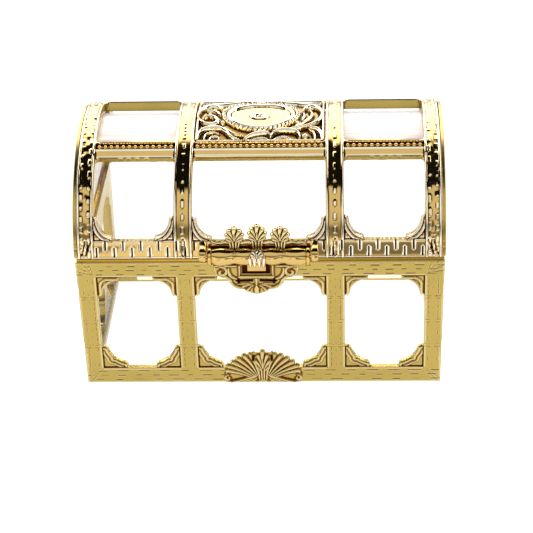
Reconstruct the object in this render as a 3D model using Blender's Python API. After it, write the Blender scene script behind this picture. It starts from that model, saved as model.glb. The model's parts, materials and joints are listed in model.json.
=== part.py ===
"""Gold-plated openwork treasure chest with clear windows, a hinged barrel lid and a swinging clasp.

Metres, +Z up, front towards -Y.  The origin lies on the underside, at the middle of the whole
chest's box.  Each sub-part is one named object; pieces that move hang on an empty on their axis.
"""
import math

import bmesh
import bpy
import numpy as np
from mathutils import Matrix, Vector

MM = 0.001
GAP = 0.3 * MM

# Base: four frames that lean in towards the foot
BASE_WIDTH_TOP = 110.0 * MM
BASE_WIDTH_FOOT = 108.7 * MM
BASE_DEPTH_TOP = 74.0 * MM
BASE_DEPTH_FOOT = 66.2 * MM
BASE_HEIGHT = 44.0 * MM
WALL = 2.0 * MM
RAIL_TOP = 5.1 * MM
RAIL_FOOT = 5.4 * MM
POST = 5.4 * MM
MIDDLE_WINDOW = 39.6 * MM
MIDDLE_TALLER = 0.3 * MM
REAR_RAIL_TOP = 2.6 * MM
LEDGE_HEIGHT = 1.0 * MM
LEDGE_SET_BACK = 0.6 * MM
LEDGE_INSET = 0.8 * MM
FLOOR = 1.6 * MM
PANE = 0.8 * MM

# Lid: half an ellipse in section, standing a little above the base
LID_SEAT = 1.33 * MM
LID_HEIGHT = 30.75 * MM
LID_WALL = 2.0 * MM
BARREL_WIDTH = 108.0 * MM
LID_WIDTH = 110.4 * MM
END_INSET = 0.5 * MM
END_BAND = 5.6 * MM
TOP_WINDOW_ANGLE = math.radians(24.0)
FRONT_WINDOW_START = math.radians(33.6)
FRONT_WINDOW_END = math.radians(79.4)
LID_PANE = 0.6 * MM
LID_PANE_ANGLE = math.radians(84.5)
BEND_STEP = math.radians(5.0)

# Medallion panel in the lid's middle top opening
MEDALLION_GROUND = 1.0 * MM
MEDALLION_HALF_WIDTH = 11.6 * MM
MEDALLION_HALF_DEPTH = 9.6 * MM
MEDALLION_RING = 1.7 * MM
MEDALLION_RING_RISE = 0.3 * MM
MEDALLION_BOSS_RISE = 0.7 * MM

# Hinges at the rear top edge
HINGE_X = 35.0 * MM
HINGE_OUT = 1.6 * MM
HINGE_UP = 0.7 * MM
KNUCKLE_RADIUS = 1.4 * MM
KNUCKLE_BORE = 0.8 * MM
KNUCKLE_MIDDLE = 2.6 * MM
KNUCKLE_SIDE = 2.4 * MM
HINGE_PIN_RADIUS = 0.5 * MM
HINGE_HEAD_RADIUS = 0.95 * MM
HINGE_HEAD = 0.6 * MM

# Clasp on the front of the lid
CLASP_BACK = 1.95 * MM
CLASP_BULGE = 2.6 * MM
CLASP_FOOT = 44.1 * MM
CLASP_TOP = 49.8 * MM
CLASP_HALF = 15.2 * MM
CLASP_AXIS_OUT = 2.9 * MM
CLASP_AXIS_Z = 48.4 * MM
CLASP_PIN_RADIUS = 0.4 * MM
CLASP_BORE = 0.7 * MM
CLASP_LEAF_RISE = 0.5 * MM
LUG = 2.2 * MM
TONGUE_HALF = 2.7 * MM
TONGUE_FOOT = 41.7 * MM
TONGUE = 0.75 * MM

# Ornaments on the front
LOCK_X = -1.0 * MM
LOCK_THICK = 1.3 * MM
SLOT_HALF = 4.2 * MM
SLOT_FOOT = 40.4 * MM
SHELL_HALF = 10.8 * MM
SHELL_TOP = 12.4 * MM
SHELL_THICK = 1.6 * MM
PALMETTE_PITCH = 6.65 * MM
PALMETTE_HALF = 2.7 * MM
PALMETTE_FOOT = 49.9 * MM
PALMETTE_TOP = 56.7 * MM
PALMETTE_THICK = 1.2 * MM

HALF_DEPTH = BASE_DEPTH_TOP / 2
HALF_WIDTH = BASE_WIDTH_TOP / 2
LEAN_FRONT = (BASE_DEPTH_TOP - BASE_DEPTH_FOOT) / 2
LEAN_SIDE = (BASE_WIDTH_TOP - BASE_WIDTH_FOOT) / 2
LID_FOOT = BASE_HEIGHT + LID_SEAT
CLASP_REACH = HALF_DEPTH + CLASP_BACK + CLASP_BULGE + CLASP_LEAF_RISE
HINGE_REACH = HALF_DEPTH + HINGE_OUT + KNUCKLE_RADIUS
MIDDLE_Y = (CLASP_REACH - HINGE_REACH) / 2
SIDE_WINDOW_INNER = MIDDLE_WINDOW / 2 + POST
SIDE_WINDOW_OUTER = HALF_WIDTH - POST - 0.4 * MM

HINGE_AXIS = Vector((0.0, MIDDLE_Y + HALF_DEPTH + HINGE_OUT, BASE_HEIGHT + HINGE_UP))
CLASP_AXIS = Vector((0.0, MIDDLE_Y - HALF_DEPTH - CLASP_AXIS_OUT, CLASP_AXIS_Z))


# ---------------------------------------------------------------- scene and materials

def clear_scene():
    """Remove every object and leftover collection."""
    for obj in list(bpy.data.objects):
        bpy.data.objects.remove(obj, do_unlink=True)
    for collection in list(bpy.data.collections):
        bpy.data.collections.remove(collection)


def new_collection(name):
    """Make a collection in the scene."""
    collection = bpy.data.collections.new(name)
    bpy.context.scene.collection.children.link(collection)
    return collection


def finish(name, color, roughness, metallic, alpha=1.0):
    """Make a Principled material."""
    material = bpy.data.materials.new(name)
    material.use_nodes = True
    shader = material.node_tree.nodes["Principled BSDF"]
    shader.inputs["Base Color"].default_value = (*color, 1.0)
    shader.inputs["Roughness"].default_value = roughness
    shader.inputs["Metallic"].default_value = metallic
    shader.inputs["Alpha"].default_value = alpha
    return material


# ---------------------------------------------------------------- outlines in a flat plane

def ellipse_loop(half_u, half_v, count, centre=(0.0, 0.0)):
    """Closed ellipse."""
    turns = (2 * math.pi * k / count for k in range(count))
    return [(centre[0] + half_u * math.cos(t), centre[1] + half_v * math.sin(t)) for t in turns]


def round_corner(radius, count=5):
    """Plain fillet in the corner at the origin, from the u side to the v side."""
    turns = (math.pi / 2 * k / count for k in range(count + 1))
    return [(radius - radius * math.sin(t), radius - radius * math.cos(t)) for t in turns]


def bracket_corner(arm_u, arm_v, lip, fullness, count=9):
    """Ornamental bracket that fills a window corner, from the u side to the v side.

    Each arm ends in a small rounded lip; between the lips the free edge is a hollow curve.
    A fullness of 1 is a quarter ellipse and 2 a straight line.
    """
    step = lip * 0.4
    start = (arm_u - step, lip)
    end = (lip, arm_v - step)
    points = [(arm_u, 0.0), (arm_u - lip * 0.12, lip * 0.55)]
    for k in range(count + 1):
        t = math.pi / 2 * k / count
        u = start[0] - (start[0] - end[0]) * math.sin(t) ** fullness
        v = end[1] - (end[1] - start[1]) * math.cos(t) ** fullness
        points.append((u, v))
    points += [(lip * 0.55, arm_v - lip * 0.12), (0.0, arm_v)]
    return points


def window_loop(u_low, u_high, v_low, v_high, low_corner, high_corner):
    """Window outline with one corner shape at the foot and one at the head, counter-clockwise."""
    loop = []
    loop += [(u_low + u, v_low + v) for u, v in reversed(low_corner)]
    loop += [(u_high - u, v_low + v) for u, v in low_corner]
    loop += [(u_high - u, v_high - v) for u, v in reversed(high_corner)]
    loop += [(u_low + u, v_high - v) for u, v in high_corner]
    return loop


def flat_slab(name, loops, low, high):
    """Extrude closed outlines, outer first and holes after, from height low to high."""
    curve = bpy.data.curves.new(name, "CURVE")
    curve.dimensions = "2D"
    curve.fill_mode = "BOTH"
    curve.extrude = (high - low) / 2
    for loop in loops:
        spline = curve.splines.new("POLY")
        spline.points.add(len(loop) - 1)
        for point, (u, v) in zip(spline.points, loop):
            point.co = (u, v, 0.0, 1.0)
        spline.use_cyclic_u = True
    source = bpy.data.objects.new(name, curve)
    bpy.context.scene.collection.objects.link(source)
    depsgraph = bpy.context.evaluated_depsgraph_get()
    mesh = bpy.data.meshes.new_from_object(source.evaluated_get(depsgraph))
    bpy.data.objects.remove(source, do_unlink=True)
    bpy.data.curves.remove(curve)
    edit = bmesh.new()
    edit.from_mesh(mesh)
    bmesh.ops.remove_doubles(edit, verts=edit.verts, dist=0.00001)
    bmesh.ops.recalc_face_normals(edit, faces=edit.faces)
    edit.to_mesh(mesh)
    edit.free()
    mesh.transform(Matrix.Translation((0.0, 0.0, (low + high) / 2)))
    obj = bpy.data.objects.new(name, mesh)
    return obj


def box(name, low, high):
    """Axis-aligned block between two corners."""
    edit = bmesh.new()
    bmesh.ops.create_cube(edit, size=1.0)
    size = Vector(high) - Vector(low)
    centre = (Vector(high) + Vector(low)) / 2
    bmesh.ops.scale(edit, vec=size, verts=edit.verts)
    bmesh.ops.translate(edit, vec=centre, verts=edit.verts)
    mesh = bpy.data.meshes.new(name)
    edit.to_mesh(mesh)
    edit.free()
    return bpy.data.objects.new(name, mesh)


def rod(name, radius, x_low, x_high, axis, sides=20):
    """Round bar along X whose centre line passes through the point axis."""
    edit = bmesh.new()
    turn = Matrix.Rotation(math.pi / 2, 4, "Y")
    bmesh.ops.create_cone(edit, cap_ends=True, segments=sides, radius1=radius, radius2=radius,
                          depth=x_high - x_low, matrix=turn)
    bmesh.ops.translate(edit, vec=((x_low + x_high) / 2, axis.y, axis.z), verts=edit.verts)
    mesh = bpy.data.meshes.new(name)
    edit.to_mesh(mesh)
    edit.free()
    return bpy.data.objects.new(name, mesh)


# ---------------------------------------------------------------- places

def wall_matrix(quarter, half, lean):
    """Stand a flat slab up as a leaning wall: u along it, v up, height outwards.

    quarter counts 90 degree turns from the front, half is the wall's distance from the middle
    at the top edge, and lean is how far the foot stands in from that.
    """
    shear = Matrix(((1.0, 0.0, 0.0, 0.0),
                    (0.0, -lean / BASE_HEIGHT, -1.0, lean - half),
                    (0.0, 1.0, 0.0, 0.0),
                    (0.0, 0.0, 0.0, 1.0)))
    turn = Matrix.Rotation(quarter * math.pi / 2, 4, "Z")
    return Matrix.Translation((0.0, MIDDLE_Y, 0.0)) @ turn @ shear


def front_matrix(out):
    """Stand a flat slab upright, its height 0 lying at a distance out before the lid's front."""
    stand = Matrix.Rotation(math.pi / 2, 4, "X")
    return Matrix.Translation((0.0, MIDDLE_Y - HALF_DEPTH - out, 0.0)) @ stand


def section_matrix(x):
    """Turn a flat slab so that u runs along +Y, v up and height along +X from the plane x."""
    basis = Matrix(((0.0, 0.0, 1.0, x), (1.0, 0.0, 0.0, MIDDLE_Y),
                    (0.0, 1.0, 0.0, 0.0), (0.0, 0.0, 0.0, 1.0)))
    return basis


ANGLES = np.linspace(0.0, math.pi / 2, 721)
SPEED = np.hypot(HALF_DEPTH * np.cos(ANGLES), LID_HEIGHT * np.sin(ANGLES))
LENGTHS = np.concatenate(([0.0], np.cumsum((SPEED[1:] + SPEED[:-1]) / 2 * np.diff(ANGLES))))


def arc_length(angle):
    """Length along the lid's section from its ridge to an angle; negative towards the front."""
    return math.copysign(float(np.interp(abs(angle), ANGLES, LENGTHS)), angle)


def arc_angle(length):
    """Angle that lies at a length along the section from the ridge."""
    return math.copysign(float(np.interp(abs(length), LENGTHS, ANGLES)), length)


def bend_point(point):
    """Lay a flat point (x, length from the ridge, height) on the lid's curved outside."""
    angle = arc_angle(point.y)
    normal = Vector((0.0, math.sin(angle) / HALF_DEPTH, math.cos(angle) / LID_HEIGHT)).normalized()
    surface = Vector((point.x, MIDDLE_Y + HALF_DEPTH * math.sin(angle),
                      LID_FOOT + LID_HEIGHT * math.cos(angle)))
    return surface + normal * point.z


def bend(obj):
    """Score a flat slab across at even angles and wrap it over the lid's section."""
    edit = bmesh.new()
    edit.from_mesh(obj.data)
    steps = int(math.pi / 2 / BEND_STEP)
    for k in range(-steps + 1, steps):
        geometry = list(edit.verts) + list(edit.edges) + list(edit.faces)
        line = (0.0, arc_length(k * BEND_STEP), 0.0)
        bmesh.ops.bisect_plane(edit, geom=geometry, dist=0.000001, plane_co=line,
                               plane_no=(0.0, 1.0, 0.0))
    for vert in edit.verts:
        vert.co = bend_point(vert.co)
    bmesh.ops.remove_doubles(edit, verts=edit.verts, dist=0.00001)
    edit.to_mesh(obj.data)
    edit.free()
    return obj


class Workshop:
    """Keeps the collections, the axes and the finishes, and files each piece under them."""

    def __init__(self):
        self.parts = new_collection("treasure_chest_ornament")
        self.cutters = new_collection("cutters")
        self.axes = {}
        self.gold = finish("plated_gold", (0.80, 0.60, 0.20), 0.22, 1.0)
        self.clear = finish("clear_sheet", (0.93, 0.92, 0.91), 0.08, 0.0, 0.25)
        self.steel = finish("pin_brass", (0.72, 0.55, 0.28), 0.30, 1.0)

    def add_axis(self, name, place, parent=None):
        """Make an empty on a joint's axis."""
        empty = bpy.data.objects.new(name, None)
        empty.empty_display_size = 5 * MM
        self.parts.objects.link(empty)
        if parent:
            empty.parent = self.axes[parent][0]
            empty.location = place - self.axes[parent][1]
        else:
            empty.location = place
        self.axes[name] = (empty, place)

    def file(self, obj, material, axis=None, matrix=None):
        """Place a piece, give it its finish and hang it on its axis."""
        if matrix:
            obj.data.transform(matrix)
        obj.data.materials.clear()
        obj.data.materials.append(material)
        if axis:
            empty, place = self.axes[axis]
            obj.data.transform(Matrix.Translation(-place))
            obj.parent = empty
        obj.data.shade_smooth()
        obj.data.set_sharp_from_angle(angle=math.radians(32))
        self.parts.objects.link(obj)
        return obj

    def boolean(self, target, tool, operation, axis=None, matrix=None):
        """Join a tool to a piece or cut it away, and keep the tool with the cutters."""
        if matrix:
            tool.data.transform(matrix)
        if axis:
            empty, place = self.axes[axis]
            tool.data.transform(Matrix.Translation(-place))
            tool.parent = empty
        tool.hide_render = True
        tool.display_type = "WIRE"
        self.cutters.objects.link(tool)
        modifier = target.modifiers.new(tool.name, "BOOLEAN")
        modifier.operation = operation
        modifier.solver = "EXACT"
        modifier.object = tool


# ---------------------------------------------------------------- base

HEAD_BRACKET = bracket_corner(6.4 * MM, 5.8 * MM, 0.9 * MM, 1.25)
FOOT_BRACKET = bracket_corner(7.2 * MM, 6.4 * MM, 1.5 * MM, 1.15)
LID_BRACKET = bracket_corner(5.8 * MM, 7.4 * MM, 1.4 * MM, 1.05)
SMALL_CORNER = round_corner(1.2 * MM)


def wall_outline(half_foot, half_top):
    """Trapezoid of a leaning wall."""
    return [(-half_foot, 0.0), (half_foot, 0.0), (half_top, BASE_HEIGHT), (-half_top, BASE_HEIGHT)]


def add_ledge(shop, wall, half, matrix):
    """Raise the narrow ledge on a wall's top edge, on which the lid comes to rest."""
    low = (-half, BASE_HEIGHT - LEDGE_HEIGHT, -WALL + 0.1 * MM)
    high = (half, BASE_HEIGHT + LEDGE_HEIGHT, -LEDGE_SET_BACK)
    shop.boolean(wall, box(wall.name + "_ledge", low, high), "UNION", matrix=matrix)


def build_front_frame(shop):
    """Front frame: three windows between four posts."""
    head = BASE_HEIGHT - RAIL_TOP
    loops = [wall_outline(BASE_WIDTH_FOOT / 2, HALF_WIDTH)]
    spans = ((-SIDE_WINDOW_OUTER, -SIDE_WINDOW_INNER), (-MIDDLE_WINDOW / 2, MIDDLE_WINDOW / 2),
             (SIDE_WINDOW_INNER, SIDE_WINDOW_OUTER))
    for low, high in spans:
        loops.append(window_loop(low, high, RAIL_FOOT, head, FOOT_BRACKET, HEAD_BRACKET))
    matrix = wall_matrix(0, HALF_DEPTH, LEAN_FRONT)
    wall = shop.file(flat_slab("base_front_frame", loops, -WALL, 0.0), shop.gold, matrix=matrix)
    add_ledge(shop, wall, HALF_WIDTH - LEDGE_INSET, matrix)


def build_rear_frame(shop):
    """Rear frame: one wide window, and the fixed knuckles of both hinges on its top rail."""
    window = window_loop(-SIDE_WINDOW_OUTER, SIDE_WINDOW_OUTER, RAIL_FOOT,
                         BASE_HEIGHT - REAR_RAIL_TOP, FOOT_BRACKET, round_corner(2.4 * MM))
    loops = [wall_outline(BASE_WIDTH_FOOT / 2, HALF_WIDTH), window]
    matrix = wall_matrix(2, HALF_DEPTH, LEAN_FRONT)
    wall = shop.file(flat_slab("base_rear_frame", loops, -WALL, 0.0), shop.gold, matrix=matrix)
    add_ledge(shop, wall, HALF_WIDTH - LEDGE_INSET, matrix)
    reach = KNUCKLE_MIDDLE / 2 + GAP
    for side in (-1, 1):
        for hand in (-1, 1):
            inner = side * HINGE_X + hand * reach
            outer = inner + hand * KNUCKLE_SIDE
            low, high = sorted((inner, outer))
            tag = "base_knuckle_%d_%d" % (side, hand)
            shop.boolean(wall, rod(tag, KNUCKLE_RADIUS, low, high, HINGE_AXIS), "UNION")
            web_low = (low + 0.05 * MM, HINGE_AXIS.y - HINGE_OUT - 0.8 * MM,
                       BASE_HEIGHT - 2.2 * MM)
            web_high = (high - 0.05 * MM, HINGE_AXIS.y + 0.6 * MM, BASE_HEIGHT - 0.1 * MM)
            shop.boolean(wall, box(tag + "_web", web_low, web_high), "UNION")
        bore = rod("base_bore_%d" % side, KNUCKLE_BORE, side * HINGE_X - 5 * MM,
                   side * HINGE_X + 5 * MM, HINGE_AXIS)
        shop.boolean(wall, bore, "DIFFERENCE")


def build_side_frames(shop):
    """End frames of the base: two windows and a middle post, between the front and rear frames."""
    half_top = HALF_DEPTH - WALL - GAP
    half_foot = BASE_DEPTH_FOOT / 2 - WALL - GAP
    outer = half_foot - POST + 1.5 * MM
    head = BASE_HEIGHT - RAIL_TOP
    for name, quarter in (("base_right_frame", 1), ("base_left_frame", 3)):
        loops = [wall_outline(half_foot, half_top)]
        for low, high in ((-outer, -POST / 2), (POST / 2, outer)):
            loops.append(window_loop(low, high, RAIL_FOOT, head, FOOT_BRACKET, HEAD_BRACKET))
        matrix = wall_matrix(quarter, HALF_WIDTH, LEAN_SIDE)
        wall = shop.file(flat_slab(name, loops, -WALL, 0.0), shop.gold, matrix=matrix)
        add_ledge(shop, wall, half_top, matrix)


def build_floor(shop):
    """Clear floor plate between the feet of the four frames."""
    half_x = BASE_WIDTH_FOOT / 2 - WALL - GAP
    half_y = BASE_DEPTH_FOOT / 2 - WALL - GAP
    low = (-half_x, MIDDLE_Y - half_y, 0.0)
    high = (half_x, MIDDLE_Y + half_y, FLOOR)
    shop.file(box("base_floor_plate", low, high), shop.clear)


def build_base_panes(shop):
    """Clear sheets behind the windows of the four frames."""
    foot = FLOOR + 2 * GAP
    head = BASE_HEIGHT - 1.2 * MM
    outside = -WALL - GAP
    inside = outside - PANE
    half_long = BASE_WIDTH_FOOT / 2 - WALL - 3 * GAP - PANE
    for name, quarter in (("base_front_pane", 0), ("base_rear_pane", 2)):
        low = (-half_long, foot, inside)
        high = (half_long, head, outside)
        shop.file(box(name, low, high), shop.clear,
                  matrix=wall_matrix(quarter, HALF_DEPTH, LEAN_FRONT))
    trim = WALL + 3 * GAP + PANE
    half_foot = BASE_DEPTH_FOOT / 2 - trim
    half_head = HALF_DEPTH - trim - LEAN_FRONT * (BASE_HEIGHT - head) / BASE_HEIGHT
    outline = [(-half_foot, foot), (half_foot, foot), (half_head, head), (-half_head, head)]
    for name, quarter in (("base_right_pane", 1), ("base_left_pane", 3)):
        pane = flat_slab(name, [outline], inside, outside)
        shop.file(pane, shop.clear, matrix=wall_matrix(quarter, HALF_WIDTH, LEAN_SIDE))


def build_hinge_pins(shop):
    """Headed pins that carry the lid."""
    reach = KNUCKLE_MIDDLE / 2 + GAP + KNUCKLE_SIDE
    for name, side in (("hinge_pin_left", -1), ("hinge_pin_right", 1)):
        low = side * HINGE_X - reach
        high = side * HINGE_X + reach
        pin = rod(name, HINGE_PIN_RADIUS, low - GAP, high + GAP, HINGE_AXIS, 16)
        shop.file(pin, shop.steel)
        for hand, end in ((-1, low - GAP), (1, high + GAP)):
            ends = sorted((end - hand * 0.05 * MM, end + hand * HINGE_HEAD))
            head = rod("%s_head_%d" % (name, hand), HINGE_HEAD_RADIUS, ends[0], ends[1],
                       HINGE_AXIS, 16)
            shop.boolean(pin, head, "UNION")


# ---------------------------------------------------------------- lid

def build_barrel_frame(shop):
    """Curved frame of the lid: windows to the front, top and rear between four arched posts."""
    edge = arc_length(math.pi / 2)
    half = BARREL_WIDTH / 2
    loops = [[(-half, -edge), (half, -edge), (half, edge), (-half, edge)]]
    top = arc_length(TOP_WINDOW_ANGLE)
    start = arc_length(FRONT_WINDOW_START)
    end = arc_length(FRONT_WINDOW_END)
    outer = SIDE_WINDOW_OUTER
    spans = ((-outer, -SIDE_WINDOW_INNER, 0.0),
             (-MIDDLE_WINDOW / 2, MIDDLE_WINDOW / 2, MIDDLE_TALLER),
             (SIDE_WINDOW_INNER, outer, 0.0))
    for low, high, taller in spans:
        near = start - taller
        far = end + taller
        loops.append(window_loop(low, high, -top - taller, top + taller,
                                 SMALL_CORNER, SMALL_CORNER))
        loops.append(window_loop(low, high, -far, -near, LID_BRACKET, SMALL_CORNER))
        loops.append(window_loop(low, high, near, far, SMALL_CORNER, LID_BRACKET))
    barrel = bend(flat_slab("lid_barrel_frame", loops, -LID_WALL, 0.0))
    shop.file(barrel, shop.gold, axis="lid_hinge_axis")
    for side in (-1, 1):
        low = side * HINGE_X - KNUCKLE_MIDDLE / 2
        high = side * HINGE_X + KNUCKLE_MIDDLE / 2
        tag = "lid_knuckle_%d" % side
        shop.boolean(barrel, rod(tag, KNUCKLE_RADIUS, low, high, HINGE_AXIS), "UNION",
                     axis="lid_hinge_axis")
        web_low = (low + 0.05 * MM, HINGE_AXIS.y - HINGE_OUT - 0.3 * MM, LID_FOOT - 0.2 * MM)
        web_high = (high - 0.05 * MM, HINGE_AXIS.y + 0.3 * MM, LID_FOOT + 2.6 * MM)
        shop.boolean(barrel, box(tag + "_web", web_low, web_high), "UNION",
                     axis="lid_hinge_axis")
        bore = rod("lid_bore_%d" % side, KNUCKLE_BORE, side * HINGE_X - 5 * MM,
                   side * HINGE_X + 5 * MM, HINGE_AXIS)
        shop.boolean(barrel, bore, "DIFFERENCE", axis="lid_hinge_axis")


def arch_loop(inset, foot, half_gap=None, count=28):
    """Half-ellipse outline in the lid's end plane, or the part of it beside a middle post."""
    half_u = HALF_DEPTH - inset
    half_v = LID_HEIGHT - inset
    low_angle = math.asin(max(0.0, foot) / half_v)
    high_angle = math.pi - low_angle
    if half_gap is not None:
        high_angle = math.acos(half_gap / half_u)
    points = []
    for k in range(count + 1):
        t = low_angle + (high_angle - low_angle) * k / count
        points.append((half_u * math.cos(t), LID_FOOT + half_v * math.sin(t)))
    if half_gap is not None:
        points.append((half_gap, LID_FOOT + foot))
    return points


def build_lid_ends(shop):
    """Arched end frames of the lid, each with two windows, and the clear sheets behind them."""
    barrel_half = BARREL_WIDTH / 2
    outside = LID_WIDTH / 2
    foot = 5.8 * MM
    for name, side in (("lid_right_end", 1), ("lid_left_end", -1)):
        window = arch_loop(END_BAND + END_INSET, foot, POST / 2)
        mirrored = [(-u, v) for u, v in window]
        loops = [arch_loop(END_INSET, 0.0), window, mirrored]
        low, high = sorted((side * (barrel_half + GAP), side * outside))
        frame = flat_slab(name, loops, 0.0, high - low)
        shop.file(frame, shop.gold, axis="lid_hinge_axis", matrix=section_matrix(low))
    for name, side in (("lid_right_pane", 1), ("lid_left_pane", -1)):
        loops = [arch_loop(LID_WALL + 2 * GAP + LID_PANE + 0.4 * MM, 2.0 * MM)]
        low, high = sorted((side * (barrel_half - GAP), side * (barrel_half - GAP - LID_PANE)))
        pane = flat_slab(name, loops, 0.0, high - low)
        shop.file(pane, shop.clear, axis="lid_hinge_axis", matrix=section_matrix(low))


def build_barrel_pane(shop):
    """One clear sheet, bent to the barrel, behind the front, top and rear windows."""
    edge = arc_length(LID_PANE_ANGLE)
    half = BARREL_WIDTH / 2 - 3 * GAP - 2 * LID_PANE
    loop = [(-half, -edge), (half, -edge), (half, edge), (-half, edge)]
    high = -LID_WALL - GAP
    pane = bend(flat_slab("lid_barrel_pane", [loop], high - LID_PANE, high))
    shop.file(pane, shop.clear, axis="lid_hinge_axis")


def build_medallion(shop):
    """Relief panel in the middle top opening: a ground plate, a rim, and an oval with a boss."""
    half = MIDDLE_WINDOW / 2 - GAP
    edge = arc_length(TOP_WINDOW_ANGLE) - GAP
    corner = SMALL_CORNER
    outline = window_loop(-half, half, -edge, edge, corner, corner)
    panel = bend(flat_slab("lid_medallion_panel", [outline], -LID_WALL, -MEDALLION_GROUND))
    shop.file(panel, shop.gold, axis="lid_hinge_axis")
    step = 0.15 * MM
    rim = 1.2 * MM
    outer = window_loop(-half + step, half - step, -edge + step, edge - step, corner, corner)
    inner = window_loop(-half + rim, half - rim, -edge + rim, edge - rim, corner, corner)
    frame = bend(flat_slab("medallion_rim", [outer, inner], -LID_WALL + 0.2 * MM, -0.1 * MM))
    shop.boolean(panel, frame, "UNION", axis="lid_hinge_axis")
    ring = [ellipse_loop(MEDALLION_HALF_WIDTH, MEDALLION_HALF_DEPTH, 48),
            ellipse_loop(MEDALLION_HALF_WIDTH - MEDALLION_RING,
                         MEDALLION_HALF_DEPTH - MEDALLION_RING, 48)]
    raised = bend(flat_slab("medallion_ring", ring, -1.4 * MM, MEDALLION_RING_RISE))
    shop.boolean(panel, raised, "UNION", axis="lid_hinge_axis")
    boss_loop = ellipse_loop(3.4 * MM, 2.6 * MM, 28)
    boss = bend(flat_slab("medallion_boss", [boss_loop], -1.5 * MM, MEDALLION_BOSS_RISE))
    shop.boolean(panel, boss, "UNION", axis="lid_hinge_axis")


# ---------------------------------------------------------------- ornaments and clasp

def palmette_loop(centre_u, foot, top, half, count=40):
    """Fan of seven rounded leaves on a narrow stem."""
    height = top - foot
    centre_v = foot + 0.42 * height
    loop = []
    for k in range(count + 1):
        t = math.radians(-38 + 256 * k / count)
        leaf = 1.0 + 0.09 * abs(math.cos(3.5 * (t - math.pi / 2)))
        u = half / 1.06 * leaf * math.cos(t)
        v = 0.58 * height / 1.09 * leaf * math.sin(t)
        loop.append((centre_u + u, centre_v + v))
    stem = half * 0.5
    loop += [(centre_u - stem, foot), (centre_u + stem, foot)]
    return loop


def shell_loop(count=66):
    """Scalloped fan that stands on the foot rail, highest in the middle."""
    loop = [(-SHELL_HALF, 0.6 * MM)]
    for k in range(count + 1):
        t = math.pi - math.pi * k / count
        scallop = 1.0 + 0.07 * abs(math.sin(5.5 * (t - math.pi / 2) + math.pi / 2))
        u = SHELL_HALF / 1.07 * scallop * math.cos(t)
        v = 3.4 * MM + (SHELL_TOP - 3.4 * MM) / 1.07 * scallop * math.sin(t) ** 1.35
        loop.append((u, v))
    loop.append((SHELL_HALF, 0.6 * MM))
    return loop


def lock_outline():
    """Lock plate: shoulders under the clasp that curl in to a small hanging shell."""
    head = BASE_HEIGHT - 0.2 * MM
    right = [(SLOT_HALF, head), (12.9 * MM, head), (12.9 * MM, 42.6 * MM), (11.0 * MM, 40.2 * MM),
             (8.8 * MM, 39.2 * MM), (7.6 * MM, 37.9 * MM), (6.4 * MM, 36.2 * MM),
             (4.4 * MM, 35.4 * MM), (3.0 * MM, 34.2 * MM), (1.4 * MM, 33.3 * MM)]
    left = [(-u, v) for u, v in reversed(right)]
    notch = [(-SLOT_HALF, SLOT_FOOT), (SLOT_HALF, SLOT_FOOT)]
    return notch + right + [(0.0, 33.1 * MM)] + left


def build_front_ornaments(shop):
    """Shell on the foot rail and lock plate on the head rail of the front frame."""
    matrix = wall_matrix(0, HALF_DEPTH, LEAN_FRONT)
    shell = flat_slab("shell_ornament", [shell_loop()], GAP, GAP + SHELL_THICK)
    shop.file(shell, shop.gold, matrix=matrix)
    slots = []
    for side in (-1, 1):
        low, high = sorted((side * 1.6 * MM, side * 6.2 * MM))
        slots.append([(low, 37.6 * MM), (high, 37.6 * MM), (high, 38.8 * MM), (low, 38.8 * MM)])
    plate = flat_slab("lock_plate", [lock_outline()] + slots, GAP, GAP + LOCK_THICK)
    shop.file(plate, shop.gold, matrix=Matrix.Translation((LOCK_X, 0.0, 0.0)) @ matrix)


def build_crest(shop):
    """Three palmettes that stand on one rail along the lid's front."""
    rail = [(-11.5 * MM, PALMETTE_FOOT), (11.5 * MM, PALMETTE_FOOT),
            (11.5 * MM, PALMETTE_FOOT + 1.3 * MM), (-11.5 * MM, PALMETTE_FOOT + 1.3 * MM)]
    crest = flat_slab("lid_palmette_crest", [rail], 0.0, 0.8 * MM)
    matrix = front_matrix(GAP)
    shop.file(crest, shop.gold, axis="lid_hinge_axis", matrix=matrix)
    for k, drop in ((-1, 0.7 * MM), (0, 0.0), (1, 0.5 * MM)):
        loop = palmette_loop(k * PALMETTE_PITCH, PALMETTE_FOOT, PALMETTE_TOP - drop, PALMETTE_HALF)
        leaf = flat_slab("palmette_%d" % k, [loop], 0.0, PALMETTE_THICK)
        shop.boolean(crest, leaf, "UNION", axis="lid_hinge_axis", matrix=matrix)


def clasp_profile():
    """Half-round section of the clasp bar in the Y-Z plane, flat towards the chest."""
    back = -HALF_DEPTH - CLASP_BACK
    middle = (CLASP_TOP + CLASP_FOOT) / 2
    half = (CLASP_TOP - CLASP_FOOT) / 2
    loop = []
    for k in range(19):
        t = -math.pi / 2 + math.pi * k / 18
        loop.append((back - CLASP_BULGE * math.cos(t), middle + half * math.sin(t)))
    return loop


def axis_loop(radius, count=18):
    """Circle about the clasp's axis in the Y-Z plane."""
    centre = (CLASP_AXIS.y - MIDDLE_Y, CLASP_AXIS.z)
    return ellipse_loop(radius, radius, count, centre)


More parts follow.
